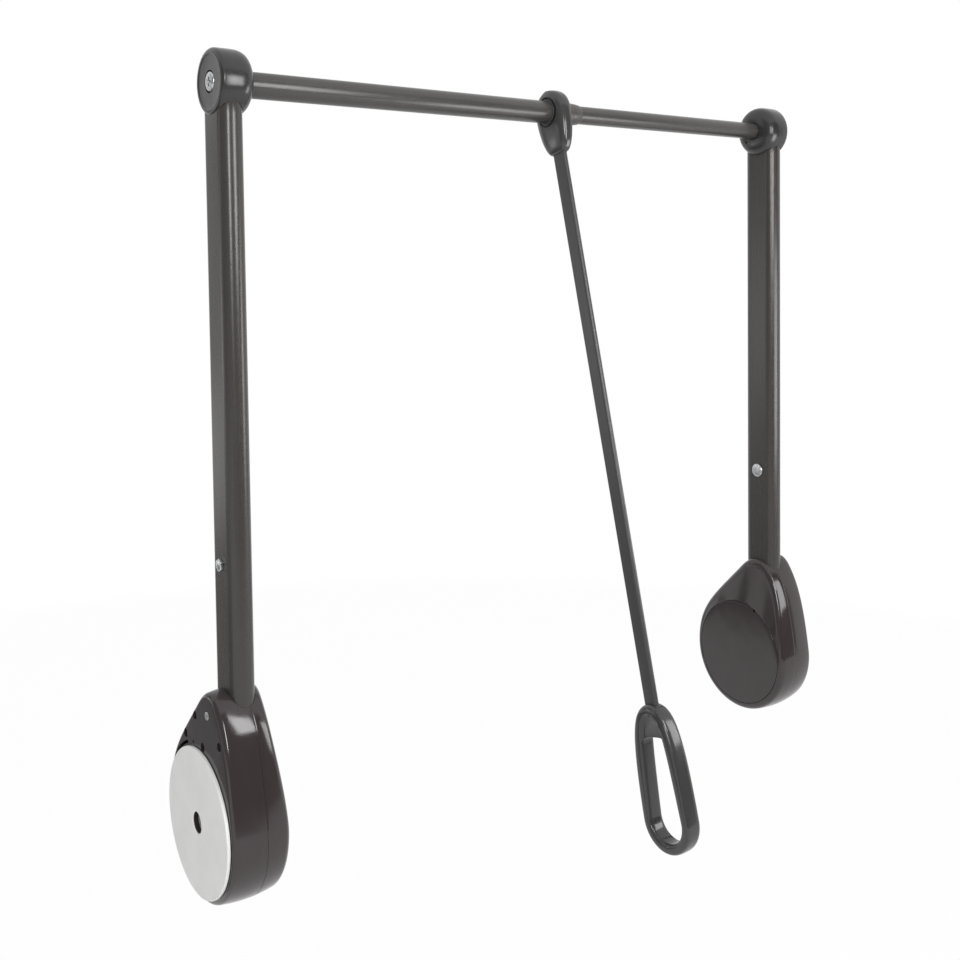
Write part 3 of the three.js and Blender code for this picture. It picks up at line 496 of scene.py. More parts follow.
class Graph:
    """Builds a node tree from Python expressions."""

    def __init__(self, tree: bpy.types.NodeTree) -> None:
        """Starts from an empty tree."""
        self.tree = tree
        tree.nodes.clear()

    def plug(self, socket: bpy.types.NodeSocket, value: Source) -> None:
        """Links a value to a socket, or sets a constant on it.

        Args:
            socket: the input.
            value: what goes into it.
        """
        if isinstance(value, Step):
            value = value.out()
        if isinstance(value, Value):
            self.tree.links.new(value.socket, socket)
        else:
            socket.default_value = value

    def node(
        self,
        kind: str,
        settings: dict[str, object] | None = None,
        inputs: dict[str | int, Source] | None = None,
    ) -> Step:
        """Adds a node.

        Args:
            kind: the node's type.
            settings: its own settings, set before its sockets.
            inputs: what goes to its sockets, by name or number: another step's value, or a constant.

        Returns:
            The node as a step.
        """
        made = self.tree.nodes.new(kind)
        for name, value in (settings or {}).items():
            setattr(made, name, value)
        for name, value in (inputs or {}).items():
            self.plug(made.inputs[name], value)
        return Step(self, made)

    def place(self) -> Value:
        """Object coordinates, in metres."""
        return self.node("ShaderNodeTexCoord").out("Object")

    def length(self, vector: Source) -> Value:
        """How long a vector is."""
        return self.node("ShaderNodeVectorMath", {"operation": "LENGTH"}, {0: vector}).out("Value")

    def noise(self, scale: float, detail: float = 3.0, stretch: Triple = EVEN, rough: float = 0.5) -> Value:
        """Noise on Object coordinates.

        Args:
            scale: features per metre.
            detail: octaves.
            stretch: scale of each axis.
            rough: share of the fine octaves.

        Returns:
            A value about 0.5.
        """
        at = self.node("ShaderNodeMapping", None, {"Vector": self.place(), "Scale": stretch})
        inputs = {"Vector": at, "Scale": scale, "Detail": detail, "Roughness": rough}
        return self.node("ShaderNodeTexNoise", {"noise_dimensions": "3D"}, inputs).out("Fac")

    def blend(self, share: Value, first: Source, second: Source) -> Value:
        """A colour between two.

        Args:
            share: 0 for the first and 1 for the second.
            first: a colour.
            second: a colour.

        Returns:
            The mixed colour.
        """
        made = self.node("ShaderNodeMix", {"data_type": "RGBA", "clamp_factor": True}, {0: share})
        for name, value in (("A", first), ("B", second)):
            self.plug(next(s for s in made.node.inputs if s.name == name and s.type == "RGBA"), value)
        return Value(self, next(s for s in made.node.outputs if s.type == "RGBA"))

    def bump(self, height: Value, distance: float) -> Value:
        """A normal tilted by a height.

        Args:
            height: the height, 0 to 1.
            distance: how high 1 is, in metres.

        Returns:
            The normal.
        """
        inputs = {"Height": height, "Distance": distance, "Strength": 1.0}
        return self.node("ShaderNodeBump", None, inputs).out("Normal")

    def surface(self, shader: Step) -> None:
        """Joins a shader to the output."""
        self.node("ShaderNodeOutputMaterial", None, {"Surface": shader})



def new_material(name: str) -> tuple[bpy.types.Material, Graph]:
    """Makes a material of that name, and the graph of its empty node tree."""
    made = bpy.data.materials.new(name)
    made.use_nodes = True
    return made, Graph(made.node_tree)


def linear(code: str) -> tuple[float, float, float, float]:
    """The linear colour of a six digit hex code, by the usual screen curve.

    Args:
        code: the colour as it looks on screen.

    Returns:
        Red, green, blue and 1.
    """
    parts = [int(code[k : k + 2], 16) / 255.0 for k in (0, 2, 4)]
    curve = [c / 12.92 if c <= 0.04045 else ((c + 0.055) / 1.055) ** 2.4 for c in parts]
    return (*curve, 1.0)


def scaled(colour: tuple[float, ...], share: float) -> tuple[float, ...]:
    """A colour made lighter or darker by a factor."""
    return (*(min(1.0, c * share) for c in colour[:3]), 1.0)


# Finishes


@dataclass(frozen=True)
class Finish:
    """What every finish has: a name, a colour, a gloss and the record's material slot."""

    name: str
    colour: str
    roughness: float
    slot: str

    def material(self) -> bpy.types.Material:
        """Makes the material once and returns it."""
        name = f"finish_{self.name}"
        known = bpy.data.materials.get(name)
        if known is not None:
            return known
        made, graph = new_material(name)
        graph.surface(self.shade(graph))
        return made

    def shade(self, graph: Graph) -> Step:
        """Builds the shader."""
        raise NotImplementedError

    def tint(self, graph: Graph, share: Value, spread: float) -> Value:
        """The finish's colour, darker by the spread where the share is 0 and lighter where it is 1."""
        base = linear(self.colour)
        return graph.blend(share, scaled(base, 1 - spread), scaled(base, 1 + spread))


@dataclass(frozen=True)
class MouldedPlastic(Finish):
    """Glossy injection moulded plastic: a faint flow mottle, an uneven polish and a very fine grain."""

    mottle: float = 0.05
    grain: float = 0.000012

    def shade(self, graph: Graph) -> Step:
        """Colour and gloss follow a slow noise, the bump a fine one and a slow wave as moulded skins have."""
        flow = graph.noise(22.0, detail=4.0, stretch=(1.0, 1.0, 0.45), rough=0.6)
        handled = graph.noise(55.0, detail=5.0, rough=0.7).between(0.45, 0.75)
        tint = self.tint(graph, flow.between(0.3, 0.7), self.mottle)
        fine = graph.noise(2600.0, detail=2.0)
        wave = graph.noise(30.0, detail=1.0)
        return graph.node("ShaderNodeBsdfPrincipled", None, {
            "Base Color": tint,
            "Roughness": self.roughness + 0.07 * handled + 0.03 * fine,
            "Normal": graph.bump(fine * 0.6 + wave * 12.0, self.grain),
        })


@dataclass(frozen=True)
class FlakeLacquer(Finish):
    """Dark lacquer on a drawn tube: fine flakes in it, and drawing lines along the tube."""

    line: Triple = (1.0, 1.0, 0.012)
    flake: float = 0.18
    relief: float = 0.000002

    def shade(self, graph: Graph) -> Step:
        """Flakes vary the colour from grain to grain, and lines along the tube the polish and the bump."""
        inputs = {"Vector": graph.place(), "Scale": 3800.0}
        cells = graph.node("ShaderNodeTexVoronoi", {"feature": "F1"}, inputs)
        sparkle = graph.node("ShaderNodeSeparateColor", None, {0: cells.out("Color")}).out(0)
        lines = graph.noise(900.0, stretch=self.line)
        cloud = graph.noise(14.0)
        tint = self.tint(graph, (sparkle * 0.6 + cloud * 0.4).between(0.1, 0.9), self.flake)
        return graph.node("ShaderNodeBsdfPrincipled", None, {
            "Base Color": tint,
            "Roughness": self.roughness + 0.04 * lines.between(0.3, 0.7) + 0.05 * cloud,
            "Normal": graph.bump(lines * 0.7 + sparkle * 0.3, self.relief),
        })


@dataclass(frozen=True)
class WhiteNylon(Finish):
    """Matt white nylon: cloudy, with faint mould rings about the swing axis, and painted shade in a bore."""

    bore: float = 0.0
    # a dark colour painted into the bore as the shade deep in its hole
    grease_and_shade: str = "2c2624"
    ring_step: float = 0.0011
    relief: float = 0.00002

    def shade(self, graph: Graph) -> Step:
        """Rings are a sine of the distance from the axis, and the hole's shade is painted where that is the
        bore's.
        """
        base = linear(self.colour)
        cloud = graph.noise(35.0, detail=4.0)
        fine = graph.noise(1500.0)
        across = {0: graph.place(), 1: (0.0, 1.0, 1.0)}
        away = graph.length(graph.node("ShaderNodeVectorMath", {"operation": "MULTIPLY"}, across))
        rings = (away * 2 * math.pi / self.ring_step).sine() * 0.5 + 0.5
        marks = graph.noise(90.0, detail=5.0, rough=0.75).between(0.6, 0.8)
        tint = graph.blend(cloud.between(0.25, 0.75), scaled(base, 0.965), scaled(base, 1.02))
        tint = graph.blend(marks * 0.25, tint, scaled(base, 0.9))
        # painted shade: within the bore's radius the white turns to the dark colour, standing in for the
        # hole's shadow
        if self.bore:
            inside = 1.0 - away.between((self.bore + 0.1) * MM, (self.bore + 0.4) * MM)
            tint = graph.blend(inside, tint, linear(self.grease_and_shade))
        return graph.node("ShaderNodeBsdfPrincipled", None, {
            "Base Color": tint,
            "Roughness": self.roughness + 0.1 * cloud + 0.05 * fine,
            "Normal": graph.bump(rings * 0.35 * cloud + fine * 0.65, self.relief),
        })


@dataclass(frozen=True)
class Plated(Finish):
    """Bright zinc on a fastener: patches from the bath, and fine turning lines about its axis."""

    tarnish: str = "8f9296"
    relief: float = 0.000025

    def shade(self, graph: Graph) -> Step:
        """Patches mix two metal colours and two polishes, and the bump is the turning lines' noise."""
        patch = graph.noise(420.0, detail=4.0, rough=0.65)
        lines = graph.noise(2200.0, detail=2.0, stretch=(0.15, 1.0, 1.0))
        return graph.node("ShaderNodeBsdfPrincipled", None, {
            "Base Color": graph.blend(patch.between(0.42, 0.72), linear(self.colour), linear(self.tarnish)),
            "Metallic": 1.0,
            "Roughness": self.roughness + 0.16 * patch.between(0.3, 0.8) + 0.05 * lines,
            "Normal": graph.bump(lines, self.relief),
        })


@dataclass(frozen=True)
class OiledSteel(Finish):
    """Machined steel under a greasy film: dark streaks and cutter lines."""

    streak: Triple = (0.2, 1.0, 0.2)
    relief: float = 0.00003

    def shade(self, graph: Graph) -> Step:
        """Greasy patches darken and smooth the steel where a slow noise is high."""
        base = linear(self.colour)
        grease_and_shade = graph.noise(60.0, detail=4.0).between(0.4, 0.7)
        lines = graph.noise(1600.0, detail=2.0, stretch=self.streak)
        return graph.node("ShaderNodeBsdfPrincipled", None, {
            "Base Color": graph.blend(grease_and_shade, base, scaled(base, 0.55)),
            "Metallic": 1.0 - 0.3 * grease_and_shade,
            "Roughness": self.roughness + 0.12 * lines - 0.1 * grease_and_shade,
            "Normal": graph.bump(lines, self.relief),
        })


@dataclass(frozen=True)
class Palette:
    """Every finish of the rod."""

    housing: Finish = MouldedPlastic("housing_plastic", "322c2d", 0.1, "housing")
    knob: Finish = MouldedPlastic("knob_plastic", "2c2b2b", 0.2, "knob", grain=0.000016)
    pull: Finish = MouldedPlastic("pull_plastic", "383737", 0.14, "pull_plastic")
    black: Finish = MouldedPlastic("black_nylon", "1b1b1c", 0.36, "black_nylon", mottle=0.1, grain=0.00002)
    bush: Finish = MouldedPlastic("bush_plastic", "403e3c", 0.3, "black_nylon")
    arm: Finish = FlakeLacquer("arm_lacquer", "363331", 0.22, "arm_paint")
    bar: Finish = FlakeLacquer("bar_lacquer", "3d3b3a", 0.24, "bar_paint", line=(0.012, 1.0, 1.0), flake=0.14)
    rod: Finish = FlakeLacquer("rod_lacquer", "393838", 0.3, "rod_paint", flake=0.1)
    nylon: Finish = WhiteNylon("white_nylon", "e4e4e3", 0.42, "white_nylon")
    # the disc's bore mouth, out to 10.4 mm from the axis, is painted with the hole's shade
    disc: Finish = WhiteNylon("disc_nylon", "dededd", 0.42, "white_nylon", bore=10.4)
    zinc: Finish = Plated("zinc_plate", "d3d5d6", 0.2, "zinc")
    steel: Finish = OiledSteel("greased_steel", "4a4a4d", 0.38, "steel")
    spring: Finish = OiledSteel("spring_wire", "5d5f63", 0.34, "spring_steel", streak=EVEN)


PALETTE = Palette()


def placed(name: str, data: bpy.types.ID) -> bpy.types.Object:
    """Puts a mesh, lamp or camera into the scene as an object of that name."""
    made = bpy.data.objects.new(name, data)
    bpy.context.scene.collection.objects.link(made)
    return made


# The bench


class Bench:
    """Turns forms into finished pieces of one side of the rod, or of its middle.

    It cuts them, softens their edges, dresses them and puts them on the frame. Forms come to it as they are
    for the left side, and names without their side.
    """

    weights: str = "bevel_weight_edge"
    same_point: float = 1e-7
    no_area: float = 1e-8

    def __init__(self, side: Side | None) -> None:
        """Keeps the side, or None for the middle, and counts the pieces."""
        self.side = side
        self.count = 0

    def named(self, name: str) -> str:
        """The name with its side."""
        return self.side.node(name) if self.side else name

    def rough(self, name: str, form: Form) -> bpy.types.Object:
        """Makes an object of this side out of a form."""
        return self.solid(self.named(name), form.on(self.side))

    def solid(self, name: str, form: Form) -> bpy.types.Object:
        """Makes an object, with doubled points merged so that poles and seams are closed.

        Args:
            name: the object's name.
            form: its shape in millimetres, in its own place.

        Returns:
            The object, in metres.
        """
        mesh = bpy.data.meshes.new(name)
        faces = [list(map(int, face)) for block in form.faces for face in block]
        mesh.from_pydata((form.points * MM).tolist(), [], faces)
        mesh.update()
        work = bmesh.new()
        work.from_mesh(mesh)
        bmesh.ops.remove_doubles(work, verts=work.verts, dist=self.same_point)
        bmesh.ops.dissolve_degenerate(work, edges=work.edges, dist=self.no_area)
        work.to_mesh(mesh)
        work.free()
        return placed(name, mesh)

    def shape(self, target: bpy.types.Object, how: Cut, *tools: Form) -> None:
        """Cuts or joins forms to an object. The tools of one call don't touch each other.

        Args:
            target: the object.
            how: what the tools do.
            tools: the forms.
        """
        self.combine(target, how, Form.together([tool.on(self.side) for tool in tools]))

    def combine(self, target: bpy.types.Object, how: Cut, tool: Form) -> None:
        """Cuts or joins one form to an object.

        Args:
            target: the object.
            how: what the tool does.
            tool: the form, in its own place.
        """
        helper = self.solid("tool", tool)
        cut = target.modifiers.new("cut", "BOOLEAN")
        cut.operation = how.value
        cut.solver = "MANIFOLD"
        cut.object = helper
        self.settle(target)
        self.discard(helper)

    def soften(
        self,
        target: bpy.types.Object,
        offset: float,
        weigh: Callable[[Array], Array],
        sharp: float,
        parts: int,
    ) -> None:
        """Rounds sharp edges, each as far as its weight says.

        Args:
            target: the object.
            offset: how far the rounding of weight 1 reaches, in millimetres.
            weigh: gives each edge's weight, 0 to 1, from its middle in millimetres.
            sharp: the least angle between two faces, in degrees.
            parts: segments of the rounding.
        """
        work = bmesh.new()
        work.from_mesh(target.data)
        layers = work.edges.layers.float
        layer = layers.get(self.weights) or layers.new(self.weights)
        least = math.radians(sharp)
        edges = [e for e in work.edges if len(e.link_faces) == 2 and e.calc_face_angle(0.0) > least]
        if edges:
            middles = np.array([(e.verts[0].co + e.verts[1].co) / 2 for e in edges]) / MM
            for edge, weight in zip(edges, weigh(middles), strict=True):
                edge[layer] = float(weight)
        work.to_mesh(target.data)
        work.free()
        bevel = target.modifiers.new("round", "BEVEL")
        bevel.limit_method = "WEIGHT"
        bevel.width = offset * MM
        bevel.segments = parts
        bevel.use_clamp_overlap = True
        self.settle(target)
        weights = target.data.attributes.get(self.weights)
        if weights is not None:
            target.data.attributes.remove(weights)

    def subtract(self, target: bpy.types.Object, tool: bpy.types.Object) -> None:
        """Cuts an object out of another.

        Args:
            target: the object that is cut.
            tool: the one that cuts it, and is removed.
        """
        points = np.array([v.co for v in tool.data.vertices]) / MM
        by_count: dict[int, list[list[int]]] = {}
        for polygon in tool.data.polygons:
            by_count.setdefault(len(polygon.vertices), []).append(list(polygon.vertices))
        form = Form(points, tuple(np.array(block) for block in by_count.values()))
        self.discard(tool)
        self.combine(target, Cut.REMOVE, form)

    def discard(self, used: bpy.types.Object) -> None:
        """Removes an object and its mesh."""
        mesh = used.data
        bpy.data.objects.remove(used)
        bpy.data.meshes.remove(mesh)

    def settle(self, target: bpy.types.Object) -> None:
        """Applies an object's modifiers to its mesh."""
        bpy.context.view_layer.update()
        evaluated = target.evaluated_get(bpy.context.evaluated_depsgraph_get())
        mesh = bpy.data.meshes.new_from_object(evaluated)
        target.modifiers.clear()
        old, target.data = target.data, mesh
        bpy.data.meshes.remove(old)

    def finish(
        self, target: bpy.types.Object, finish: Finish, body: str, node: str, sharp: float = 35.0,
    ) -> None:
        """Smooths, dresses and mounts a piece.

        Args:
            target: the object.
            finish: its finish.
            body: the CAD body it rides on.
            node: the CAD node it stands for, without its side.
            sharp: the angle above which an edge stays sharp, in degrees.
        """
        mesh = target.data
        mesh.materials.clear()
        mesh.materials.append(finish.material())
        mesh.shade_smooth()
        mesh.set_sharp_from_angle(angle=math.radians(sharp))
        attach(target, body)
        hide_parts(self.named(node))
        self.count += 1
        log.info("%s: %d faces on %s", target.name, len(mesh.polygons), body)

    def simple(self, name: str, form: Form, finish: Finish, body: str, node: str) -> None:
        """A piece that needs no cutting."""
        self.finish(self.rough(name, form), finish, body, node)

    def dress(self, node: str, finish: Finish) -> None:
        """Gives a carried over CAD node its finish.

        Args:
            node: the CAD node, without its side.
            finish: the finish.
        """
        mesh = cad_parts[self.named(node)].data
        mesh.materials.clear()
        mesh.materials.append(finish.material())
        log.info("%s: CAD node in %s", self.named(node), finish.name)


def arm_slot(low: float, high: float, steps: int) -> Form:
    """The tool for the arm's tube between two heights, with a gap all round."""
    outline = oval(ARM_DEPTH + 2 * GAP, ARM_WIDTH + 2 * GAP, steps)
    return Form.pillar(outline, low, high, place=(ARM_X, ARM_Y))

# The sub-assemblies


@dataclass(frozen=True)
class Fastener:
    """A pan head screw with a cross recess, along X."""

    head: float
    head_height: float
    shank: float
    length: float
    cross: float
    cross_width: float
    cross_depth: float
    sides: int
    crown: float = 0.7
    tip: float = 0.3
    cross_over: float = 1.0
    cross_mouth: float = 1.06
    cross_foot: float = 0.62
    cross_foot_width: float = 0.9

    def form(self, seat: float, y: float, z: float) -> Form:
        """The screw's body.

        Args:
            seat: where the underside of the head is.
            y: the axis.
            z: the axis.

        Returns:
            The form, with its head towards the wall.
        """
        top = seat - self.head_height
        profile = rounded([
            (top, 0.0, 0.0),
            (top, self.head, self.head_height * self.crown),
            (seat, self.head, 0.15),
            (seat, self.shank, 0.1),
            (seat + self.length - self.shank, self.shank, 0.3),
            (seat + self.length, self.shank * self.tip, 0.0),
            (seat + self.length, 0.0, 0.0),
        ])
        return Form.turned(profile, self.sides, y, z)

    def recess(self, seat: float, y: float, z: float) -> list[Form]:
        """The two arms of the cross, as tools that narrow towards the bottom.

        Args:
            seat: where the head's seat is along X.
            y: the screw's place.
            z: the screw's place.
        """
        top = seat - self.head_height
        long, short = self.cross / 2, self.cross_width / 2
        ends = (
            (top - self.cross_over, long * self.cross_mouth, short),
            (top + self.cross_depth, long * self.cross_foot, short * self.cross_foot_width),
        )
        arms = []
        for order in (1, -1):
            rows = []
            for x, a, b in ends:
                corners = np.array([[-a, -b], [a, -b], [a, b], [-a, b]])[:, ::order]
                rows.append(upright(corners + [y, z], x))
            arms.append(Form.grid(np.array(rows)))
        return arms

    def build(self, bench: Bench, node: str, seat: float, y: float, z: float) -> None:
        """Makes one screw of a side.

        Args:
            bench: where it is made.
            node: the CAD node it stands for, without its side.
            seat: where the underside of the head is.
            y: the axis.
            z: the axis.
        """
        made = bench.rough(f"{node}_zinc", self.form(seat, y, z))
        for tool in self.recess(seat, y, z):
            bench.shape(made, Cut.REMOVE, tool)
        bench.finish(made, PALETTE.zinc, bench.side.arm, node)


@dataclass(frozen=True)
class WallMount:
    """The white disc that is fastened to the wardrobe's side, and the hollow axle in it."""

    bench: Bench
    radius: float = 74.3
    bevel: float = 1.2
    back: float = 3.5
    bore: float = 12.5
    mouth: float = 10.4
    mouth_depth: float = 6.0
    mouth_bevel: float = 1.2
    hub: float = 30.0
    hub_end: float = 18.0
    axle: float = 10.0
    axle_bore: float = 5.4
    axle_start: float = 9.0
    flange: float = 26.0
    flange_thickness: float = 3.0
    shoulder: float = 50.0
    thread: float = 8.0
    axle_end: float = 58.5
    lug: float = 2.4
    lug_circle: float = 20.5
    lug_depth: float = 5.0
    flat: float = 8.4
    pinion_width: float = 12.0
    flat_reach: float = 18.0
    lug_root: float = 1.5

    def disc(self) -> None:
        """The disc: a turned profile with softly rounded edges and a countersunk bore."""
        profile = rounded([
            (0.0, self.mouth + self.mouth_bevel, 0.5),
            (0.0, self.radius, self.bevel),
            (self.back, self.radius, 0.6),
            (self.back, self.hub, 0.2),
            (self.hub_end, self.hub, 0.6),
            (self.hub_end, self.bore, 0.3),
            (self.mouth_depth, self.bore, 0.3),
            (self.mouth_depth, self.mouth, 0.3),
            (self.mouth_bevel, self.mouth, 0.5),
        ], closed=True)
        form = Form.turned(profile, 160, ring=True)
        made = self.bench.rough("wall_disc_nylon", form)
        holes = self.lugs(self.hub_end - self.lug_depth - GAP, self.hub_end + PASS, GAP)
        self.bench.shape(made, Cut.REMOVE, *holes)
        self.bench.finish(made, PALETTE.disc, self.bench.side.hub, "wall_disc")

    def lugs(self, low: float, high: float, clearance: float) -> list[Form]:
        """Three round lugs under the axle's flange, or the tools for their holes.

        Args:
            low: where they start along X.
            high: where they end.
            clearance: how much larger a tool's radius is.
        """
        angles = np.pi / 2 + np.arange(3) / 3 * 2 * np.pi
        y, z = np.cos(angles) * self.lug_circle, np.sin(angles) * self.lug_circle
        places = zip(y.tolist(), z.tolist(), strict=True)
        return [Form.peg(self.lug + clearance, low, high, *place, sides=24) for place in places]

    def pin(self) -> None:
        """The hollow axle with its flange, lugs, flat and thread."""
        start = self.hub_end + GAP
        end = start + self.flange_thickness
        profile = rounded([
            (self.axle_start, self.axle_bore, 0.4),
            (self.axle_start, self.bore - GAP, 0.6),
            (start, self.bore - GAP, 0.0),
            (start, self.flange, 0.4),
            (end, self.flange, 0.4),
            (end, self.axle, 0.3),
            (self.shoulder, self.axle, 0.4),
            (self.shoulder, self.thread, 0.2),
            (self.axle_end, self.thread, 0.8),
            (self.axle_end, self.axle_bore, 0.3),
        ], 3, closed=True)
        form = Form.turned(profile, 96, ring=True)
        made = self.bench.rough("axle_steel", form)
        half, reach = self.pinion_width / 2 + GAP, self.flat_reach
        flat = Form.block([ARM_X - half, self.flat, -reach], [ARM_X + half, reach, reach])
        self.bench.shape(made, Cut.REMOVE, flat)
        lugs = self.lugs(self.hub_end - self.lug_depth, start + self.lug_root, 0.0)
        self.bench.shape(made, Cut.ADD, *lugs)
        self.bench.finish(made, PALETTE.steel, self.bench.side.hub, "axle")

    def build(self) -> None:
        """The mount, and the CAD nodes that stay on its axle."""
        self.disc()
        self.pin()
        self.bench.dress("pinion", PALETTE.steel)
        self.bench.dress("axle_washer", PALETTE.zinc)
        self.bench.dress("axle_nut", PALETTE.zinc)


@dataclass(frozen=True)
class Housing:
    """The drop shaped housing: two shells, a round cover and their screws."""

    bench: Bench
    radius: float = 82.5
    depth: float = 59.9
    stand_off: float = 4.0
    parting: float = 38.0
    wall: float = 3.0
    crown: float = 3.3
    outer_round: float = 3.5
    neck_round: float = 6.0
    inner_round: float = 6.6
    lean: float = 9.0
    mouth_dip: float = 3.0
    mouth_dip_start: float = 98.0
    lip: float = 4.0
    back_lip: float = 2.0
    front_z: float = 119.0
    back_z: float = 122.0
    peak_z: float = 139.0
    peak_forward: float = 2.0
    back_swell: float = 52.0
    back_reach: float = 51.0
    front_swell: float = 45.0
    front_reach: float = 27.0
    front_crest: float = 12.0
    front_lean: float = 0.62
    leave_angle: float = 172.0
    cavity_top: float = 98.0
    web: float = 46.0
    web_thickness: float = 4.0
    hub_clearance: float = 30.5
    flange_clearance: float = 26.5
    bush_hole: float = 13.4
    cover: float = 71.2
    cover_thickness: float = 2.7
    cover_gap: float = 0.6
    cover_ledge: float = 5.0
    post: float = 5.8
    rack_depth: float = 13.0
    guide: float = 4.0
    guide_length: float = 66.0
    screw_hole: float = 4.6
    screw_depth: float = 18.0
    screw_places: tuple[Pair, ...] = ((9.5, 105.5), (34.5, 79.8), (-9.2, 78.3), (-49.5, 91.5), (0.0, -68.0))
    small_hole: Triple = (14.4, 77.0, 1.8)
    slot_radius: float = 78.0
    slot_width: float = 3.2
    slot_angles: Pair = (36.0, 69.0)
    pin_head: float = 4.0
    pin_head_height: float = 2.0
    pin_proud: float = 0.8
    pin_end: float = 54.0
    dome: float = 0.7
    outline_count: int = 288
    margin: float = 0.08
    face_shares: tuple[float, ...] = (0.06, 0.25, 0.5, 0.75, 0.94, 1.0)
    rim: float = 2.2
    rim_back: float = 0.35
    rim_z: float = 112.0
    rim_blend: Pair = (-8.0, 18.0)
    rim_near: float = 0.12
    parting_round: float = 0.22
    parting_near: float = 0.05
    outline_near: float = 3.6
    hub_depth: float = 18.0
    seen_screws: int = 4
    screw_flare: float = 0.35
    small_flare: float = 0.25
    pin_flare: float = 0.2
    recess_flare: float = 0.3
    post_reach: float = 70.0
    shell_reach: float = 80.0
    slab_reach: float = 200.0
    slot_over: float = 12.0
    notch_angle: float = 114.0
    notch: float = 1.9
    notch_out: float = 0.1
    notch_floor: float = 0.6
    cover_flat: float = 6.0
    screw: Fastener = Fastener(
        head=3.6, head_height=2.4, shank=1.9, length=24.0,
        cross=4.4, cross_width=1.1, cross_depth=1.5, sides=32,
    )

    def outline(self, count: int) -> Array:
        """The outline at its widest in Y and Z: curves for back, dome and front, and the round foot.

        Args:
            count: how many points are wanted.

        Returns:
            The points at equal steps, anticlockwise.
        """
        half = ARM_WIDTH / 2
        start = np.array([self.radius, 0.0])
        front = np.array([ARM_Y - half - self.lip, self.front_z])
        back = np.array([ARM_Y + half + self.back_lip, self.back_z])
        peak = np.array([ARM_Y - self.peak_forward, self.peak_z])
        angle = math.radians(self.leave_angle)
        leave = np.array([math.cos(angle), math.sin(angle)])
        foot = leave * self.radius
        pull = self.dome * (peak[1] - back[1])
        crest, reach, swell = self.front_crest, self.front_reach, self.front_swell
        waist = foot + [leave[1] * swell, -leave[0] * swell]
        curves = [
            (start, start + [0.0, self.back_swell], back + [self.back_reach, -self.back_reach], back),
            (back, back + [-pull, pull], [(back[0] + 2 * peak[0]) / 3, peak[1]], peak),
            (peak, [(front[0] + peak[0]) / 2, peak[1]], front + [crest * self.front_lean, crest], front),
            (front, front - [reach * self.front_lean, reach], waist, foot),
        ]
        path = [bezier(points, steps) for points, steps in zip(curves, (200, 120, 160, 200), strict=True)]
        path.append(arc((0, 0), (self.radius, self.radius), self.leave_angle, 360.0, 400)[:-1])
        return spaced(np.vstack(path), count)

    def crown_inset(self, x: Array) -> Array:
        """How far the edge is drawn in: the crown times the squared share of the way from its middle."""
        half = self.depth / 2
        return self.crown * ((x - self.stand_off - half) / half) ** 2

    def rings(self, rise: Array) -> list[tuple[Array, float | Array]]:
        """Where the skin's rings lie along X, and how far each is drawn in beyond the crown.

        An edge rounding of radius r is drawn in by r(1 - cos t) at r(1 - sin t) from the end.

        Args:
            rise: how much of the neck's rounding each point takes on the wall side.

        Returns:
            The place and the inset of each ring.
        """
        end = self.stand_off + self.depth
        outer = self.outer_round + (self.neck_round - self.outer_round) * rise
        made = []
        for turn in np.linspace(np.pi / 2, 0.0, 9):
            made.append((self.stand_off + outer * (1 - math.sin(turn)), outer * (1 - math.cos(turn))))
        run = self.depth - self.neck_round - self.inner_round
        for share in np.linspace(self.margin, 1 - self.margin, 16):
            made.append((self.stand_off + self.neck_round + run * share, 0.0))
        inner = self.inner_round
        for turn in np.linspace(0.0, np.pi / 2, 10):
            made.append((end - inner * (1 - math.sin(turn)), inner * (1 - math.cos(turn))))
        return [(np.full(len(rise), x), inset) for x, inset in made]

    def skin(self) -> Form:
        """The whole housing as one closed form: the outline carried along X, and a flat face to the room.

        The neck leans away from the room and the mouth dips towards the front, both by smooth steps.
        """
        spots = self.outline(self.outline_count)
        normals = inward(spots)
        half = ARM_WIDTH / 2
        end = self.stand_off + self.depth
        rise = smoothstep(spots[:, 1], 0.0, self.front_z)
        forward = smoothstep(ARM_Y - spots[:, 0], -half, half)
        lean = rise * (1 + forward) / 2
        dip = smoothstep(spots[:, 1], self.mouth_dip_start, self.peak_z) * forward
        rows = []
        for x, inset in self.rings(rise * forward):
            drop = self.mouth_dip * dip * smoothstep(x, self.stand_off, ARM_X)
            drawn = self.lean * lean * smoothstep(x, ARM_X, end)
            flat = spots + normals * (self.crown_inset(x) + inset)[:, None] - np.outer(drop, [0, 1])
            rows.append(upright(flat, x - drawn))
        edge = rows[-1]
        out = edge[:, 1:] / np.linalg.norm(edge[:, 1:], axis=1, keepdims=True)
        face = upright(out * (self.cover + 2 * self.cover_gap), end)
        rows += [edge + (face - edge) * share for share in self.face_shares]
        return Form.grid(np.array(rows))

    def hollow(self, low: float, high: float) -> Form:
        """The straight sided hollow of a shell, below the neck.

        Args:
            low: where it starts along X.
            high: where it ends.
        """
        spots = self.outline(96)
        inner = spots + inward(spots) * (self.wall + self.crown)
        inner[:, 1] = np.minimum(inner[:, 1], self.cavity_top)
        return Form.pillar(inner, low, high, axis=0)

    def hole(
        self, radius: float, low: float, high: float, y: float, z: float, flare: float = 0.0, sides: int = 40,
    ) -> Form:
        """A round tool along X, wider by a flare where it breaks the outer face.

        Args:
            radius: its radius.
            low: where it starts, outside the material.
            high: where it ends.
            y: the axis.
            z: the axis.
            flare: how much wider and how deep the flare is.
            sides: facets.

        Returns:
            The tool.
        """
        if not flare:
            return Form.peg(radius, low, high, y, z, sides)
        face = self.stand_off
        wide = radius + flare + face - low
        profile = [(low, 0), (low, wide), (face + flare, radius), (high, radius), (high, 0)]
        return Form.turned(np.array(profile, float), sides, y, z)

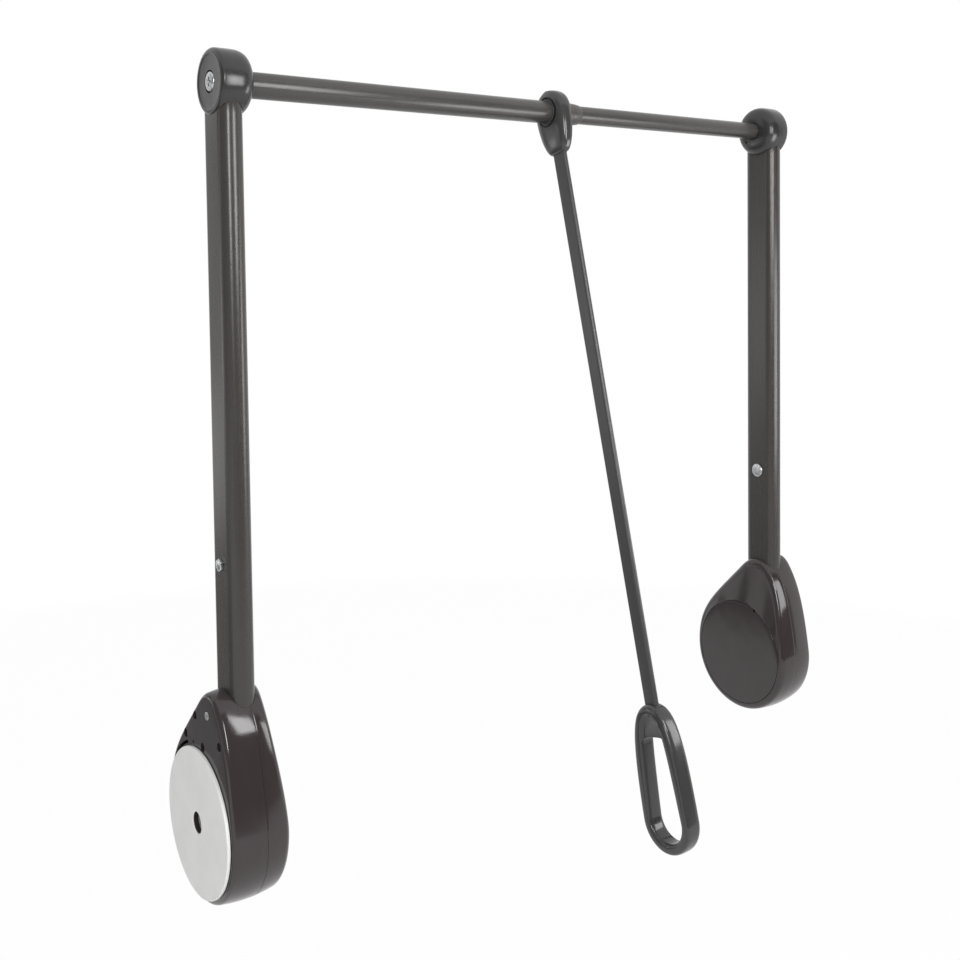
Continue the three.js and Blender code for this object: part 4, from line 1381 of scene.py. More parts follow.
    def posts(self) -> list[Form]:
        """The screw posts."""
        return [Form.peg(self.post, 0.0, self.post_reach, y, z, 32) for y, z in self.screw_places]

    def rack_rib(self) -> Form:
        """The rib that the rack slides on."""
        back, half = ARM_Y - self.rack_depth / 2 - GAP, self.guide_length / 2
        return Form.block([0.0, back - self.guide, -half], [self.post_reach, back, half])

    def curved_slot(self) -> Form:
        """The tool for the curved slot above the wall disc: two joined arcs about the swing axis."""
        half = self.slot_width / 2
        low, high = self.slot_angles
        edges = ((self.slot_radius + half, low, high), (self.slot_radius - half, high, low))
        outline = np.vstack([arc((0, 0), (radius, radius), start, end, 30) for radius, start, end in edges])
        return Form.pillar(outline, self.stand_off - PASS, self.stand_off + self.wall + PASS, axis=0)

    def neck_edges(self) -> Callable[[Array], Array]:
        """Weighs the mouth's rim, near the arm's oval and high on the neck, most at the wide front lip."""
        def weigh(middle: Array) -> Array:
            """The edges' places against the oval of the arm."""
            front = smoothstep(ARM_Y - middle[:, 1], *self.rim_blend)
            on_rim = (off_arm(middle, self.bench.side) < self.rim_near) & (middle[:, 2] > self.rim_z)
            return on_rim * (self.rim_back + (1 - self.rim_back) * front)
        return weigh

    def parting_edges(self, at: float) -> Callable[[Array], Array]:
        """Weighs the edges at the outside of the parting: in its plane and near the outline.

        Args:
            at: where the parting plane is along X.

        Returns:
            The function that weighs places.
        """
        spots = self.outline(400)

        def weigh(middle: Array) -> Array:
            """The edges' places against the parting plane and the outline."""
            off_plane = np.abs(self.bench.side.local(middle[:, 0]) - at)
            away = np.min(np.hypot(middle[:, 1:2] - spots[:, 0], middle[:, 2:3] - spots[:, 1]), axis=1)
            return ((off_plane < self.parting_near) & (away < self.outline_near)) * 1.0
        return weigh

    def shell(self, name: str, skin: Pair, hollow: Pair) -> bpy.types.Object:
        """What both shells share: the skin less its hollow and the arm's slot, with a softly rounded mouth.

        Args:
            name: the piece's name, without its side.
            skin: where the shell starts and ends along X.
            hollow: where its hollow starts and ends.

        Returns:
            The shell without its holes.
        """
        made = self.bench.rough(name, self.skin())
        reach = self.slab_reach
        slab = Form.block([skin[0], -reach, -reach], [skin[1], reach, reach])
        self.bench.shape(made, Cut.KEEP, slab)
        room = self.bench.rough("room", self.hollow(*hollow))
        self.bench.shape(room, Cut.REMOVE, *self.posts(), self.rack_rib())
        self.bench.subtract(made, room)
        slot = arm_slot(ARM_FOOT - GAP, self.peak_z + self.slot_over, 40)
        self.bench.shape(made, Cut.REMOVE, slot)
        self.bench.soften(made, self.rim, self.neck_edges(), 25.0, 4)
        return made

    def outer_shell(self) -> None:
        """The shell on the wall side: hollow, with the disc's recess, the mouth, the slot and holes."""
        face, end = self.stand_off + self.wall, self.parting - GAP / 2
        seat = self.stand_off + self.screw_depth
        made = self.shell("outer_shell_plastic", (0.0, end), (face, end + PASS))
        holes = []
        for number, (y, z) in enumerate(self.screw_places):
            flare = self.screw_flare if number < self.seen_screws else 0.0
            holes.append(self.hole(self.screw_hole, 0.0, seat, y, z, flare))
        small_y, small_z, small = self.small_hole
        head_end = self.stand_off - self.pin_proud + self.pin_head_height + GAP
        holes += [
            self.hole(small, 0.0, face + PASS, small_y, small_z, self.small_flare),
            self.curved_slot(),
            self.hole(self.pin_head + GAP, 0.0, head_end, ARM_Y, PIN_Z, self.pin_flare),
            self.hole(self.hub_clearance, 0.0, self.hub_depth + GAP, 0.0, 0.0, sides=128),
        ]
        self.bench.shape(made, Cut.REMOVE, *holes)
        holes = self.shank_holes(seat - PASS, end + PASS)
        holes.append(self.hole(PIN + GAP, self.stand_off, end + PASS, ARM_Y, PIN_Z, sides=32))
        holes.append(self.hole(self.flange_clearance, self.hub_depth, end + PASS, 0.0, 0.0, sides=128))
        self.bench.shape(made, Cut.REMOVE, *holes)
        self.bench.soften(made, self.parting_round, self.parting_edges(end), 30.0, 2)
        self.bench.finish(made, PALETTE.housing, self.bench.side.arm, "outer_shell")

    def inner_shell(self) -> None:
        """The shell on the room side: the leaning face, the cover's recess, the bearing web and the mouth."""
        start, end = self.parting + GAP / 2, self.stand_off + self.depth
        ledge = end - self.cover_thickness - GAP
        made = self.shell("inner_shell_plastic", (start, self.shell_reach), (start - PASS, self.web))
        rim, over, flare = self.cover + self.cover_gap, end + PASS, self.recess_flare
        wide = rim + PASS + flare
        profile = np.array([[ledge, 0.0], [ledge, rim], [end - flare, rim], [over, wide], [over, 0.0]])
        tools = (Form.turned(profile, 160), self.blade_notch(rim, ledge, over))
        self.bench.shape(made, Cut.REMOVE, *tools)
        web_end = self.web + self.web_thickness
        hollow = self.hole(self.cover - self.cover_ledge, web_end, ledge + PASS, 0.0, 0.0, sides=128)
        self.bench.shape(made, Cut.REMOVE, hollow)
        screw_end = self.stand_off + self.screw_depth + self.screw.length + GAP
        holes = self.shank_holes(start - PASS, screw_end)
        holes.append(self.hole(PIN + GAP, start - PASS, self.pin_end + GAP, ARM_Y, PIN_Z, sides=32))
        holes.append(self.hole(self.bush_hole, self.web - PASS, web_end, 0.0, 0.0, sides=96))
        self.bench.shape(made, Cut.REMOVE, *holes)
        self.bench.soften(made, self.parting_round, self.parting_edges(start), 30.0, 2)
        self.bench.finish(made, PALETTE.housing, self.bench.side.arm, "inner_shell")

    def shank_holes(self, low: float, high: float) -> list[Form]:
        """The tools for the holes that the screws' shanks go through."""
        return [self.hole(self.screw.shank + GAP, low, high, y, z, sides=24) for y, z in self.screw_places]

    def blade_notch(self, rim: float, low: float, high: float) -> Form:
        """The tool for a small notch beside the cover, where a blade lifts it.

        Args:
            rim: the radius of the cover's recess.
            low: where the recess's floor is along X.
            high: where the tool ends.
        """
        angle, out = math.radians(self.notch_angle), rim + self.notch_out
        place = (math.cos(angle) * out, math.sin(angle) * out)
        return Form.peg(self.notch, low + self.notch_floor, high, *place, sides=24)

    def round_cover(self) -> None:
        """The round cover: a turned lid with a soft edge."""
        end = self.stand_off + self.depth
        profile = rounded([
            (end - self.cover_thickness, 0.0, 0.0),
            (end - self.cover_thickness, self.cover, 0.3),
            (end, self.cover, 0.8),
            (end, self.cover - self.cover_flat, 0.0),
            (end, 0.0, 0.0),
        ])
        form = Form.turned(profile, 160)
        self.bench.simple("round_cover_plastic", form, PALETTE.housing, self.bench.side.arm, "round_cover")

    def screws(self) -> None:
        """The shell screws, deep in their holes."""
        seat = self.stand_off + self.screw_depth - GAP
        for number, (y, z) in enumerate(self.screw_places, 1):
            self.screw.build(self.bench, f"shell_screw_{number}", seat, y, z)

    def clamp_pin(self) -> None:
        """The pin through the neck, with a domed end."""
        start = self.stand_off - self.pin_proud
        profile = rounded([
            (start, 0.0, 0.0),
            (start, self.pin_head, 0.7),
            (start + self.pin_head_height, self.pin_head, 0.1),
            (start + self.pin_head_height, PIN, 0.1),
            (self.pin_end, PIN, 0.5),
            (self.pin_end, 0.0, 0.0),
        ])
        form = Form.turned(profile, 48, ARM_Y, PIN_Z)
        self.bench.simple("clamp_pin_zinc", form, PALETTE.zinc, self.bench.side.arm, "clamp_pin")

    def build(self) -> None:
        """The housing of this side, and the bush in it."""
        self.outer_shell()
        self.inner_shell()
        self.round_cover()
        self.screws()
        self.clamp_pin()
        self.bench.dress("axle_bush", PALETTE.nylon)


@dataclass(frozen=True)
class Arm:
    """The oval tube with the spring's anchor through it, and what slides in it."""

    bench: Bench
    end_round: float = 0.4
    end_share: float = 0.99
    end_run: float = 20.0
    anchor_z: float = 261.0
    bolt: float = 3.0
    bolt_head: float = 11.4
    bolt_head_height: float = 3.2
    bolt_corner: float = 0.7
    bolt_dome: tuple[Pair, ...] = ((0.0, 0.86), (0.25, 0.93), (0.8, 0.995), (1.1, 1.0))
    bolt_root: float = 1.0
    nut: float = 9.0
    nut_height: float = 2.8
    sleeve: float = 4.8
    sleeve_length: float = 13.0
    sleeve_start: float = 0.1
    nut_slot: float = 1.8
    nut_slot_depth: float = 1.0
    nut_slot_over: float = 1.0
    spring_radius: float = 8.6
    wire: float = 3.0
    wire_sides: int = 14
    turns: int = 9
    turn_steps: int = 36
    end_ease: float = 0.25
    spring_foot: float = 142.6
    spring_top: float = 250.2
    anchor_foot: float = 251.7
    rack_reach: float = 30.0

    def tube(self) -> None:
        """The tube: an outer and an inner oval carried along Z, joined at their ends, then drilled."""
        outer = oval(ARM_DEPTH, ARM_WIDTH, 48)
        inner = oval(ARM_DEPTH - 2 * ARM_WALL, ARM_WIDTH - 2 * ARM_WALL, 48)
        stack = [(outer * self.end_share, ARM_FOOT), (outer, ARM_FOOT + self.end_round)]
        stack += [(outer, z) for z in np.linspace(ARM_FOOT + self.end_run, ARM_TOP - self.end_run, 12)]
        stack += [(outer, ARM_TOP - self.end_round), (outer * self.end_share, ARM_TOP)]
        stack += [(inner, ARM_TOP), (inner, ARM_FOOT)]
        rows = np.array([level(outline + [ARM_X, ARM_Y], z) for outline, z in stack])
        made = self.bench.rough("arm_tube_lacquer", Form.grid(rows, ring=True))
        low, high = ARM_X - ARM_DEPTH / 2 - PASS, ARM_X + ARM_DEPTH / 2 + PASS
        holes = [
            Form.peg(PIN + GAP, low, high, ARM_Y, PIN_Z),
            Form.peg(self.bolt + GAP, low, ARM_X, ARM_Y, self.anchor_z),
            Form.peg(self.sleeve + GAP, ARM_X + self.sleeve_start, high, ARM_Y, self.anchor_z),
        ]
        self.bench.shape(made, Cut.REMOVE, *holes)
        self.bench.finish(made, PALETTE.arm, self.bench.side.arm, "arm_tube")

    def anchor_bolt(self) -> None:
        """A hexagon head with rounded corners on the wall side, and its shank."""
        face, end = ARM_X - ARM_DEPTH / 2 - GAP, ARM_X + ARM_DEPTH / 2 - GAP
        corner = self.bolt_head / math.sqrt(3)
        angles = np.radians(30 + 60 * np.arange(6))
        corners = [(corner * math.cos(a), corner * math.sin(a), self.bolt_corner) for a in angles]
        outline = rounded(corners, 4, closed=True)
        places = [(face - self.bolt_head_height + rise, share) for rise, share in self.bolt_dome]
        rows = [upright(outline * share + [ARM_Y, self.anchor_z], x) for x, share in (*places, (face, 1.0))]
        made = self.bench.rough("anchor_bolt_zinc", Form.grid(np.array(rows)))
        shank = Form.peg(self.bolt, face - self.bolt_root, end, ARM_Y, self.anchor_z)
        self.bench.shape(made, Cut.ADD, shank)
        self.bench.finish(made, PALETTE.zinc, self.bench.side.arm, "anchor_bolt")

    def anchor_nut(self) -> None:
        """A flat round nut with a slot on the room side, with its sleeve."""
        face = ARM_X + ARM_DEPTH / 2 + GAP
        start, top = face - self.sleeve_length, face + self.nut_height
        profile = rounded([
            (start, self.bolt + GAP, 0.2),
            (start, self.sleeve, 0.3),
            (face, self.sleeve, 0.1),
            (face, self.nut, 0.3),
            (top, self.nut, 1.5),
            (top, 0.0, 0.0),
            (face + GAP, 0.0, 0.0),
            (face + GAP, self.bolt + GAP, 0.1),
        ], 4, closed=True)
        form = Form.turned(profile, 64, ARM_Y, self.anchor_z, ring=True)
        made = self.bench.rough("anchor_nut_zinc", form)
        half, reach = self.nut_slot / 2, self.nut + self.nut_slot_over
        low = [top - self.nut_slot_depth, ARM_Y - reach, self.anchor_z - half]
        slot = Form.block(low, [top + PASS, ARM_Y + reach, self.anchor_z + half])
        self.bench.shape(made, Cut.REMOVE, slot)
        self.bench.finish(made, PALETTE.zinc, self.bench.side.arm, "anchor_nut")

    def spring(self) -> None:
        """The pressure spring: a round wire along a helix whose turns lie closer at both ends.

        Wire point = centre + (radius + w cos b) out + w sin b up.
        """
        t = np.linspace(0.0, 1.0, self.turns * self.turn_steps + 1)
        turn = 2 * np.pi * self.turns * t
        rise = smoothstep(t, 0.0, 1.0) * self.end_ease + t * (1 - self.end_ease)
        z = self.spring_foot + (self.spring_top - self.spring_foot) * rise
        around = np.linspace(0.0, 2 * np.pi, self.wire_sides, endpoint=False)
        out = self.spring_radius + self.wire / 2 * np.cos(around)
        rows = np.stack([
            ARM_X + np.cos(turn)[:, None] * out,
            ARM_Y + np.sin(turn)[:, None] * out,
            z[:, None] + self.wire / 2 * np.sin(around),
        ], axis=-1)
        made = self.bench.rough("spring_wire", Form.grid(rows))
        self.bench.finish(made, PALETTE.spring, self.bench.side.arm, "spring")
        anchor = (self.bench.side.local(ARM_X) * MM, ARM_Y * MM, self.anchor_foot * MM)
        self.bench.side.node("rack_slide")
        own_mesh(made)

    def build(self) -> None:
        """The arm, and the CAD nodes that stay in it."""
        self.tube()
        self.anchor_bolt()
        self.anchor_nut()
        self.spring()
        self.bench.dress("rack", PALETTE.steel)
        self.bench.dress("spring_seat", PALETTE.nylon)
        self.bench.dress("anchor_block", PALETTE.nylon)


@dataclass(frozen=True)
class Knob:
    """The round joint of arm and bar, and the screw in its face."""

    bench: Bench
    radius: float = 33.0
    inset: float = 20.4
    depth: float = 37.6
    edge: float = 4.6
    dome_start: float = 14.0
    dome_power: float = 3.7
    dome_crowd: float = 0.9
    face_rim: float = 2.4
    face_sink: float = 0.7
    stub: float = 10.0
    recess: float = 11.2
    recess_depth: float = 3.6
    lock_hole: float = 1.6
    lock_out: float = 18.5
    lock_angle: float = -50.0
    lock_depth: float = 8.0
    ring_gap: float = 1.1
    ring_depth: float = 2.6
    socket_round: float = 0.8
    socket_near: float = 0.12
    socket_top: float = 1.0
    screw: Fastener = Fastener(
        head=9.8, head_height=3.4, shank=4.0, length=30.0,
        cross=10.4, cross_width=2.4, cross_depth=2.2, sides=72,
    )

    def drum(self) -> Form:
        """The drum: a sunk flat face with a rim, a quarter round edge and a dome.

        On the dome, (distance along X / depth)^p + (radius / full radius)^p = 1.
        """
        face = self.inset
        rim = self.radius - self.edge
        start = rounded([
            (face + self.face_sink, 0.0, 0.0),
            (face + self.face_sink, rim - self.face_rim, 0.35),
            (face, rim - self.face_rim + self.face_sink, 0.35),
            (face, rim, 0.0),
        ], 4)
        turn = np.linspace(0.0, np.pi / 2, 10)[1:-1]
        edge = np.column_stack([face + self.edge * (1 - np.cos(turn)), rim + self.edge * np.sin(turn)])
        t = np.linspace(0.0, 1.0, 40) ** self.dome_crowd * (np.pi / 2)
        power = 2 / self.dome_power
        dome = np.column_stack([
            face + self.dome_start + (self.depth - self.dome_start) * np.sin(t) ** power,
            self.radius * np.maximum(np.cos(t), 0.0) ** power,
        ])
        dome[-1, 1] = 0.0
        return Form.turned(np.vstack([start, edge, dome]), 144, ARM_Y, BAR_Z)

    def bore(self, radius: float, low: float, high: float, sides: int = 64) -> Form:
        """A round tool along the bar's axis."""
        return Form.peg(radius, low, high, ARM_Y, BAR_Z, sides)

    def knob(self) -> None:
        """One knob with its sockets for the arm, the bar and the screw, and the hole of its lock."""
        end = self.inset + self.depth
        made = self.bench.rough("knob_plastic", self.drum())
        low = BAR_Z - self.radius - self.stub
        self.bench.shape(made, Cut.REMOVE, arm_slot(low, ARM_TOP + GAP, 48))
        self.bench.soften(made, self.socket_round, self.socket_edges(), 25.0, 3)
        inner = ARM_WALL + GAP
        outline = oval(ARM_DEPTH - 2 * inner, ARM_WIDTH - 2 * inner, 32)
        stub = Form.pillar(outline, low, ARM_TOP + 2 * GAP, place=(ARM_X, ARM_Y))
        self.bench.shape(made, Cut.ADD, stub)
        angle = math.radians(self.lock_angle)
        lock = (ARM_Y + math.cos(angle) * self.lock_out, BAR_Z + math.sin(angle) * self.lock_out)
        holes = [
            self.bore(self.bench.side.bar + GAP, BAR_STOP - GAP, end + PASS, 96),
            self.bore(self.recess, self.inset - PASS, self.inset + self.recess_depth),
            Form.peg(self.lock_hole, end - self.lock_depth, end + PASS, *lock, sides=24),
        ]
        self.bench.shape(made, Cut.REMOVE, *holes)
        holes = [
            self.bore(self.bench.side.bar + self.ring_gap, end - self.ring_depth, end + PASS, 96),
            self.bore(self.screw.shank + GAP, self.inset, BAR_STOP, 48),
        ]
        self.bench.shape(made, Cut.REMOVE, *holes)
        self.bench.finish(made, PALETTE.knob, self.bench.side.arm, "knob", 32.0)

    def socket_edges(self) -> Callable[[Array], Array]:
        """Weighs the edges of the rim where the arm enters."""
        def weigh(middle: Array) -> Array:
            """The edges' places against the arm's oval and the tube's end."""
            below = middle[:, 2] < ARM_TOP - self.socket_top
            return ((off_arm(middle, self.bench.side) < self.socket_near) & below) * 1.0
        return weigh

    def build(self) -> None:
        """The knob with its screw, and the CAD plug in the bar's end."""
        seat = self.inset + self.recess_depth - GAP
        self.knob()
        self.screw.build(self.bench, "knob_screw", seat, ARM_Y, BAR_Z)
        self.bench.dress("bar_plug", PALETTE.steel)


@dataclass(frozen=True)
class HangingBar:
    """The telescopic bar, its end bush and the clip on the bush."""

    bench: Bench
    wall: float = 1.2
    outer_end: float = 466.0
    inner_start: float = 140.0
    sleeve: float = 1.1
    lip: float = 0.9
    flange: float = 17.2
    flange_thickness: float = 2.2
    collar: float = 13.25
    collar_end: float = 485.0
    collar_curve: tuple[Pair, ...] = ((6.0, 0.0), (10.5, 0.35), (14.5, 0.9))
    collar_taper: float = 1.35
    collar_round: float = 1.2
    clip_thickness: float = 1.8
    clip_depth: float = 2.0
    clip_round: float = 0.25

    def tube(self, name: str, radius: float, low: float, high: float, body: str) -> None:
        """A drawn tube with broken edges.

        Args:
            name: the CAD node it stands for.
            radius: its outer radius.
            low: where it starts.
            high: where it ends.
            body: the body it rides on.
        """
        bore = radius - self.wall
        corners = [(low, bore, 0.3), (low, radius, 0.4), (high, radius, 0.4), (high, bore, 0.3)]
        form = Form.turned(rounded(corners, 3, closed=True), 96, ARM_Y, BAR_Z, ring=True)
        self.bench.simple(f"{name}_lacquer", form, PALETTE.bar, body, name)

    def groove(self) -> Pair:
        """Where the clip's groove starts and ends."""
        start = RING_X - RING_WIDTH / 2 + RING_SINK - GAP - self.clip_thickness
        return start, start + self.clip_thickness

    def bush(self) -> None:
        """The bush on the thick tube's end: a sleeve under the ring, a flange and a soft collar."""
        bore = OUTER_BAR + GAP
        sleeve = bore + self.sleeve
        low, high = self.groove()
        start = low - GAP - self.lip
        flange = RING_X + RING_WIDTH / 2 - RING_SINK + GAP
        wall = self.outer_end + GAP
        inner = INNER_BAR + GAP
        profile = rounded([
            (start, bore, 0.1),
            (start, sleeve, 0.3),
            (low - GAP, sleeve, 0.1),
            (low - GAP, sleeve - self.sleeve / 2, 0.0),
            (high + GAP, sleeve - self.sleeve / 2, 0.0),
            (high + GAP, sleeve, 0.1),
            (flange, sleeve, 0.1),
            (flange, self.flange, 0.3),
            (flange + self.flange_thickness, self.flange, 0.6),
            (flange + self.flange_thickness, sleeve, 0.3),
            (wall + self.sleeve, sleeve, 0.5),
            (wall + 2 * self.sleeve, self.collar, 0.5),
            *((wall + run, self.collar - less, 0.0) for run, less in self.collar_curve),
            (self.collar_end - self.collar_round, self.collar - self.collar_taper, 0.6),
            (self.collar_end, inner, 0.3),
            (wall, inner, 0.1),
            (wall, bore, 0.1),
        ], 3, closed=True)
        form = Form.turned(profile, 96, ARM_Y, BAR_Z, ring=True)
        self.bench.simple("bar_bush_plastic", form, PALETTE.bush, Side.LEFT.arm, "bar_bush")

    def clip(self) -> None:
        """The spring clip in the bush's groove: a rounded section carried round most of a circle."""
        low, high = self.groove()
        bore = OUTER_BAR + GAP + self.sleeve / 2 + GAP / 2
        corners = ((low, bore), (low, bore + self.clip_depth), (high, bore + self.clip_depth), (high, bore))
        section = rounded([(x, r, self.clip_round) for x, r in corners], 2, closed=True)
        half = math.degrees(math.asin(self.clip_depth / 2 / bore))
        angle = np.radians(np.linspace(90 + half, 450 - half, 90))[:, None]
        x = np.repeat(section[None, :, 0], len(angle), axis=0)
        y, z = ARM_Y + section[:, 1] * np.cos(angle), BAR_Z + section[:, 1] * np.sin(angle)
        form = Form.grid(np.stack([x, y, z], axis=-1))
        self.bench.simple("ring_clip_plastic", form, PALETTE.black, Side.LEFT.arm, "ring_clip")

    def build(self) -> None:
        """Tubes, bush and clip."""
        self.tube("outer_bar_tube", OUTER_BAR, BAR_STOP, self.outer_end, Side.LEFT.arm)
        self.tube("inner_bar_tube", INNER_BAR, self.inner_start, SPAN - BAR_STOP, Side.RIGHT.arm)
        self.bush()
        self.clip()
        self.bench.dress("bar_guide_plug", PALETTE.nylon)


@dataclass(frozen=True)
class Pull:
    """The ring on the bar, the flat rod and the loop handle, which turn together about the bar."""

    bench: Bench
    lean: float = 13.8
    ring: float = 26.5
    bore: float = 15.15
    counterbore: float = 17.9
    tail: float = 50.0
    tail_width: float = 24.0
    tail_depth: float = 11.0
    tail_end: tuple[Pair, ...] = ((0.5, 0.35), (0.7, 1.0))
    ring_top: float = 88.5
    ring_flare: float = 0.8
    edge_share: float = 0.42
    taper: float = 0.6
    ring_power: float = 3.0
    rod_top: float = 21.4
    rod_bottom: float = 19.6
    rod_depth: float = 6.6
    rod_start: float = 31.0
    rod_end: float = 711.0
    socket_start: float = 2.0
    socket_over: float = 4.0
    handle_top: float = 687.0
    handle_length: float = 160.0
    handle_width: float = 71.0
    handle_depth: float = 21.0
    shoulder_share: float = 0.9
    bulge_share: float = 0.28
    top_bulge: float = 26.0
    shoulder_bulge: float = 34.5
    web: float = 36.0
    side: float = 11.4
    bottom: float = 12.0
    opening_top: float = 35.0
    opening_corner: float = 9.0
    arch_top: float = 9.5
    arch_reach: float = 1.2
    arch_foot: float = 2.0
    web_sink: float = 4.4
    web_walls: tuple[Pair, ...] = ((0.0, 0.84), (0.7, 0.88), (3.6, 0.98), (4.6, 1.05), (7.4, 1.3))
    boss: float = 4.6
    boss_root: float = 1.0
    boss_round: float = 0.6
    grip_power: float = 3.6
    screw_head: float = 3.0
    screw_radius: float = 1.6
    screw_length: float = 14.0
    cross: Pair = (1.9, 0.4)
    cross_depth: float = 1.2
    cross_over: float = 1.0
    ring_screw_z: float = 41.0
    handle_screw_z: float = 701.0

    def hang(self, made: bpy.types.Object) -> None:
        """Moves an upright piece of the pull to where it hangs."""
        turn = Matrix.Rotation(-math.radians(self.lean), 4, "X")
        made.data.transform(Matrix.Translation(Vector((RING_X, ARM_Y, BAR_Z)) * MM) @ turn)

    def section(self, z: Array) -> tuple[Array, Array]:
        """Half width and half depth of the ring at heights about the bar: a circle above and a drop below.

        The drop ends in the tail's oval. The share s of the way down leaves (1 - s^2)^taper of the swell.

        Args:
            z: the heights.

        Returns:
            The half widths and the half depths.
        """
        up, down = np.clip(z / self.ring, 0, 1), np.clip(-z / self.tail, 0, 1)
        half, tail_half, tail_deep = RING_WIDTH / 2, self.tail_width / 2, self.tail_depth / 2
        tall, low = np.sqrt(1 - up**2), (1 - down**2) ** self.taper
        width = np.where(z >= 0, self.ring * tall, tail_half + (self.ring - tail_half) * low)
        depth = np.where(z >= 0, half * (1 - self.edge_share * up**4), tail_deep + (half - tail_deep) * low)
        return width, depth

    def ring_form(self) -> Form:
        """The ring's skin: rounded squares (|x/d|^p + |y/w|^p = 1) stacked along Z."""
        up = np.sin(np.radians(np.linspace(self.ring_top, 0.0, 34))) * self.ring
        down = -np.sin(np.radians(np.linspace(0.0, 90.0, 40)[1:])) * self.tail
        z = np.concatenate([up, down])
        width, depth = self.section(z)
        drop, less = np.array(self.tail_end).T
        z = np.concatenate([z, -self.tail - drop])
        width = np.concatenate([width, width[-1] - less])
        depth = np.concatenate([depth, depth[-1] - less])
        x, y = squared(112, self.ring_power)
        heights = np.repeat(z[:, None], len(x), 1)
        return Form.grid(np.stack([depth[:, None] * x, width[:, None] * y, heights], axis=-1))

    def rod_form(self, top: float, foot: float, low: float, high: float, clearance: float = 0.0) -> Form:
        """The flat rod: an oval that narrows evenly downwards.

        Args:
            top: its width where it starts.
            foot: its width where it ends.
            low: how far below the bar it starts.
            high: how far below the bar it ends.
            clearance: how much wider a tool is on each side.

        Returns:
            The form.
        """
        ends = []
        for z, width in ((-high, foot), (-low, top)):
            ends.append(level(oval(self.rod_depth + 2 * clearance, width + 2 * clearance, 20), z))
        share = np.linspace(0.0, 1.0, 12)[:, None, None]
        return Form.grid(ends[0] + (ends[1] - ends[0]) * share)

    def screws(self) -> dict[str, Pair]:
        """How far below the bar each screw is, and how far from the middle its head lies."""
        ring_half = float(self.section(np.array([-self.ring_screw_z]))[1][0])
        return {
            "ring_screw": (self.ring_screw_z, ring_half - GAP),
            "handle_screw": (self.handle_screw_z, self.handle_depth / 2 - GAP),
        }

    def screw_form(self, place: float, sink: float, clearance: float) -> Form:
        """A countersunk screw from the far side, or the tool for its hole.

        Args:
            place: how far below the bar it is.
            sink: how far from the middle its head lies.
            clearance: how much wider a tool is all round, or 0 for the screw.

        Returns:
            The form.
        """
        end = sink - self.screw_length - clearance
        over = PASS if clearance else 0.0
        shank, head = self.screw_radius + clearance, self.screw_head + clearance
        corners = [
            (end, 0.0), (end, shank), (sink - self.screw_head / 2, shank),
            (sink, head), (sink + over, head), (sink + over, 0.0),
        ]
        return Form.turned(np.array(corners), 40, 0.0, -place)

    def build_screws(self) -> None:
        """The two screws, with cross recesses."""
        for name, (z, sink) in self.screws().items():
            made = self.bench.rough(f"{name}_zinc", self.screw_form(z, sink, 0.0))
            floor, over = sink - self.cross_depth, sink + self.cross_over
            for long, short in (self.cross, self.cross[::-1]):
                cross = Form.block([floor, -long, -z - short], [over, long, -z + short])
                self.bench.shape(made, Cut.REMOVE, cross)
            self.hang(made)
            self.bench.finish(made, PALETTE.zinc, "pull", name)

    def build_ring(self) -> None:
        """The ring with its bore, counterbores and the rod's socket."""
        made = self.bench.rough("pull_ring_plastic", self.ring_form())
        half, flare = RING_WIDTH / 2, self.ring_flare
        face, over, wide = half - RING_SINK, half + PASS, self.counterbore + flare + PASS
        right = [(face, self.bore), (face, self.counterbore), (half - flare, self.counterbore)]
        right += [(over, wide), (over, 0)]
        left = [(-x, radius) for x, radius in reversed(right)]
        self.bench.shape(made, Cut.REMOVE, Form.turned(np.array(left + right, float), 96))
        low, high = self.rod_start - GAP, self.tail + self.socket_over
        socket = self.rod_form(self.rod_top, self.rod_top, low, high, GAP)
        self.bench.shape(made, Cut.REMOVE, socket)
        self.bench.shape(made, Cut.REMOVE, self.screw_form(*self.screws()["ring_screw"], GAP))
        self.hang(made)
        self.bench.finish(made, PALETTE.pull, "pull", "pull_ring", 38.0)

    def build_rod(self) -> None:
        """The rod with its two screw holes."""
        form = self.rod_form(self.rod_top, self.rod_bottom, self.rod_start, self.rod_end)
        made = self.bench.rough("pull_rod_lacquer", form)
        for z, sink in self.screws().values():
            self.bench.shape(made, Cut.REMOVE, self.screw_form(z, sink, GAP))
        self.hang(made)
        self.bench.finish(made, PALETTE.rod, "pull", "pull_rod")

    def outer_outline(self) -> Array:
        """The handle's outer edge in Y and Z, from its top down one side, round the foot and back."""
        half, top = self.handle_width / 2, -self.handle_top
        run = self.handle_length - half
        shoulder, bulge = top - run * self.shoulder_share, top - run * self.bulge_share
        curve = [(0, top), (self.top_bulge, top), (self.shoulder_bulge, bulge), (half, shoulder)]
        left = bezier([(-y, z) for y, z in curve], 160)
        foot = arc((0, top - run), (half, half), 180, 360, 160)
        return np.vstack([left, foot, bezier(curve[::-1], 160)])

    def inner_outline(self) -> Array:
        """The finger opening in Y and Z, from the middle of its top the same way round."""
        half, top = self.handle_width / 2, -self.handle_top - self.web
        low = -self.handle_top - self.handle_length + half
        inner, wide, corner = half - self.side, self.opening_top / 2, self.opening_corner
        t = np.linspace(0.0, 1.0, 24)[:, None]
        start, end = [-wide + corner, top], [-wide, top - corner]
        bend = (1 - t) ** 2 * start + 2 * (1 - t) * t * [-wide, top] + t**2 * end
        foot = arc((0, low), (inner, half - self.bottom), 180, 360, 160)
        return np.vstack([[[0, top]], bend, foot, bend[::-1] * [-1, 1], [[0, top]]])

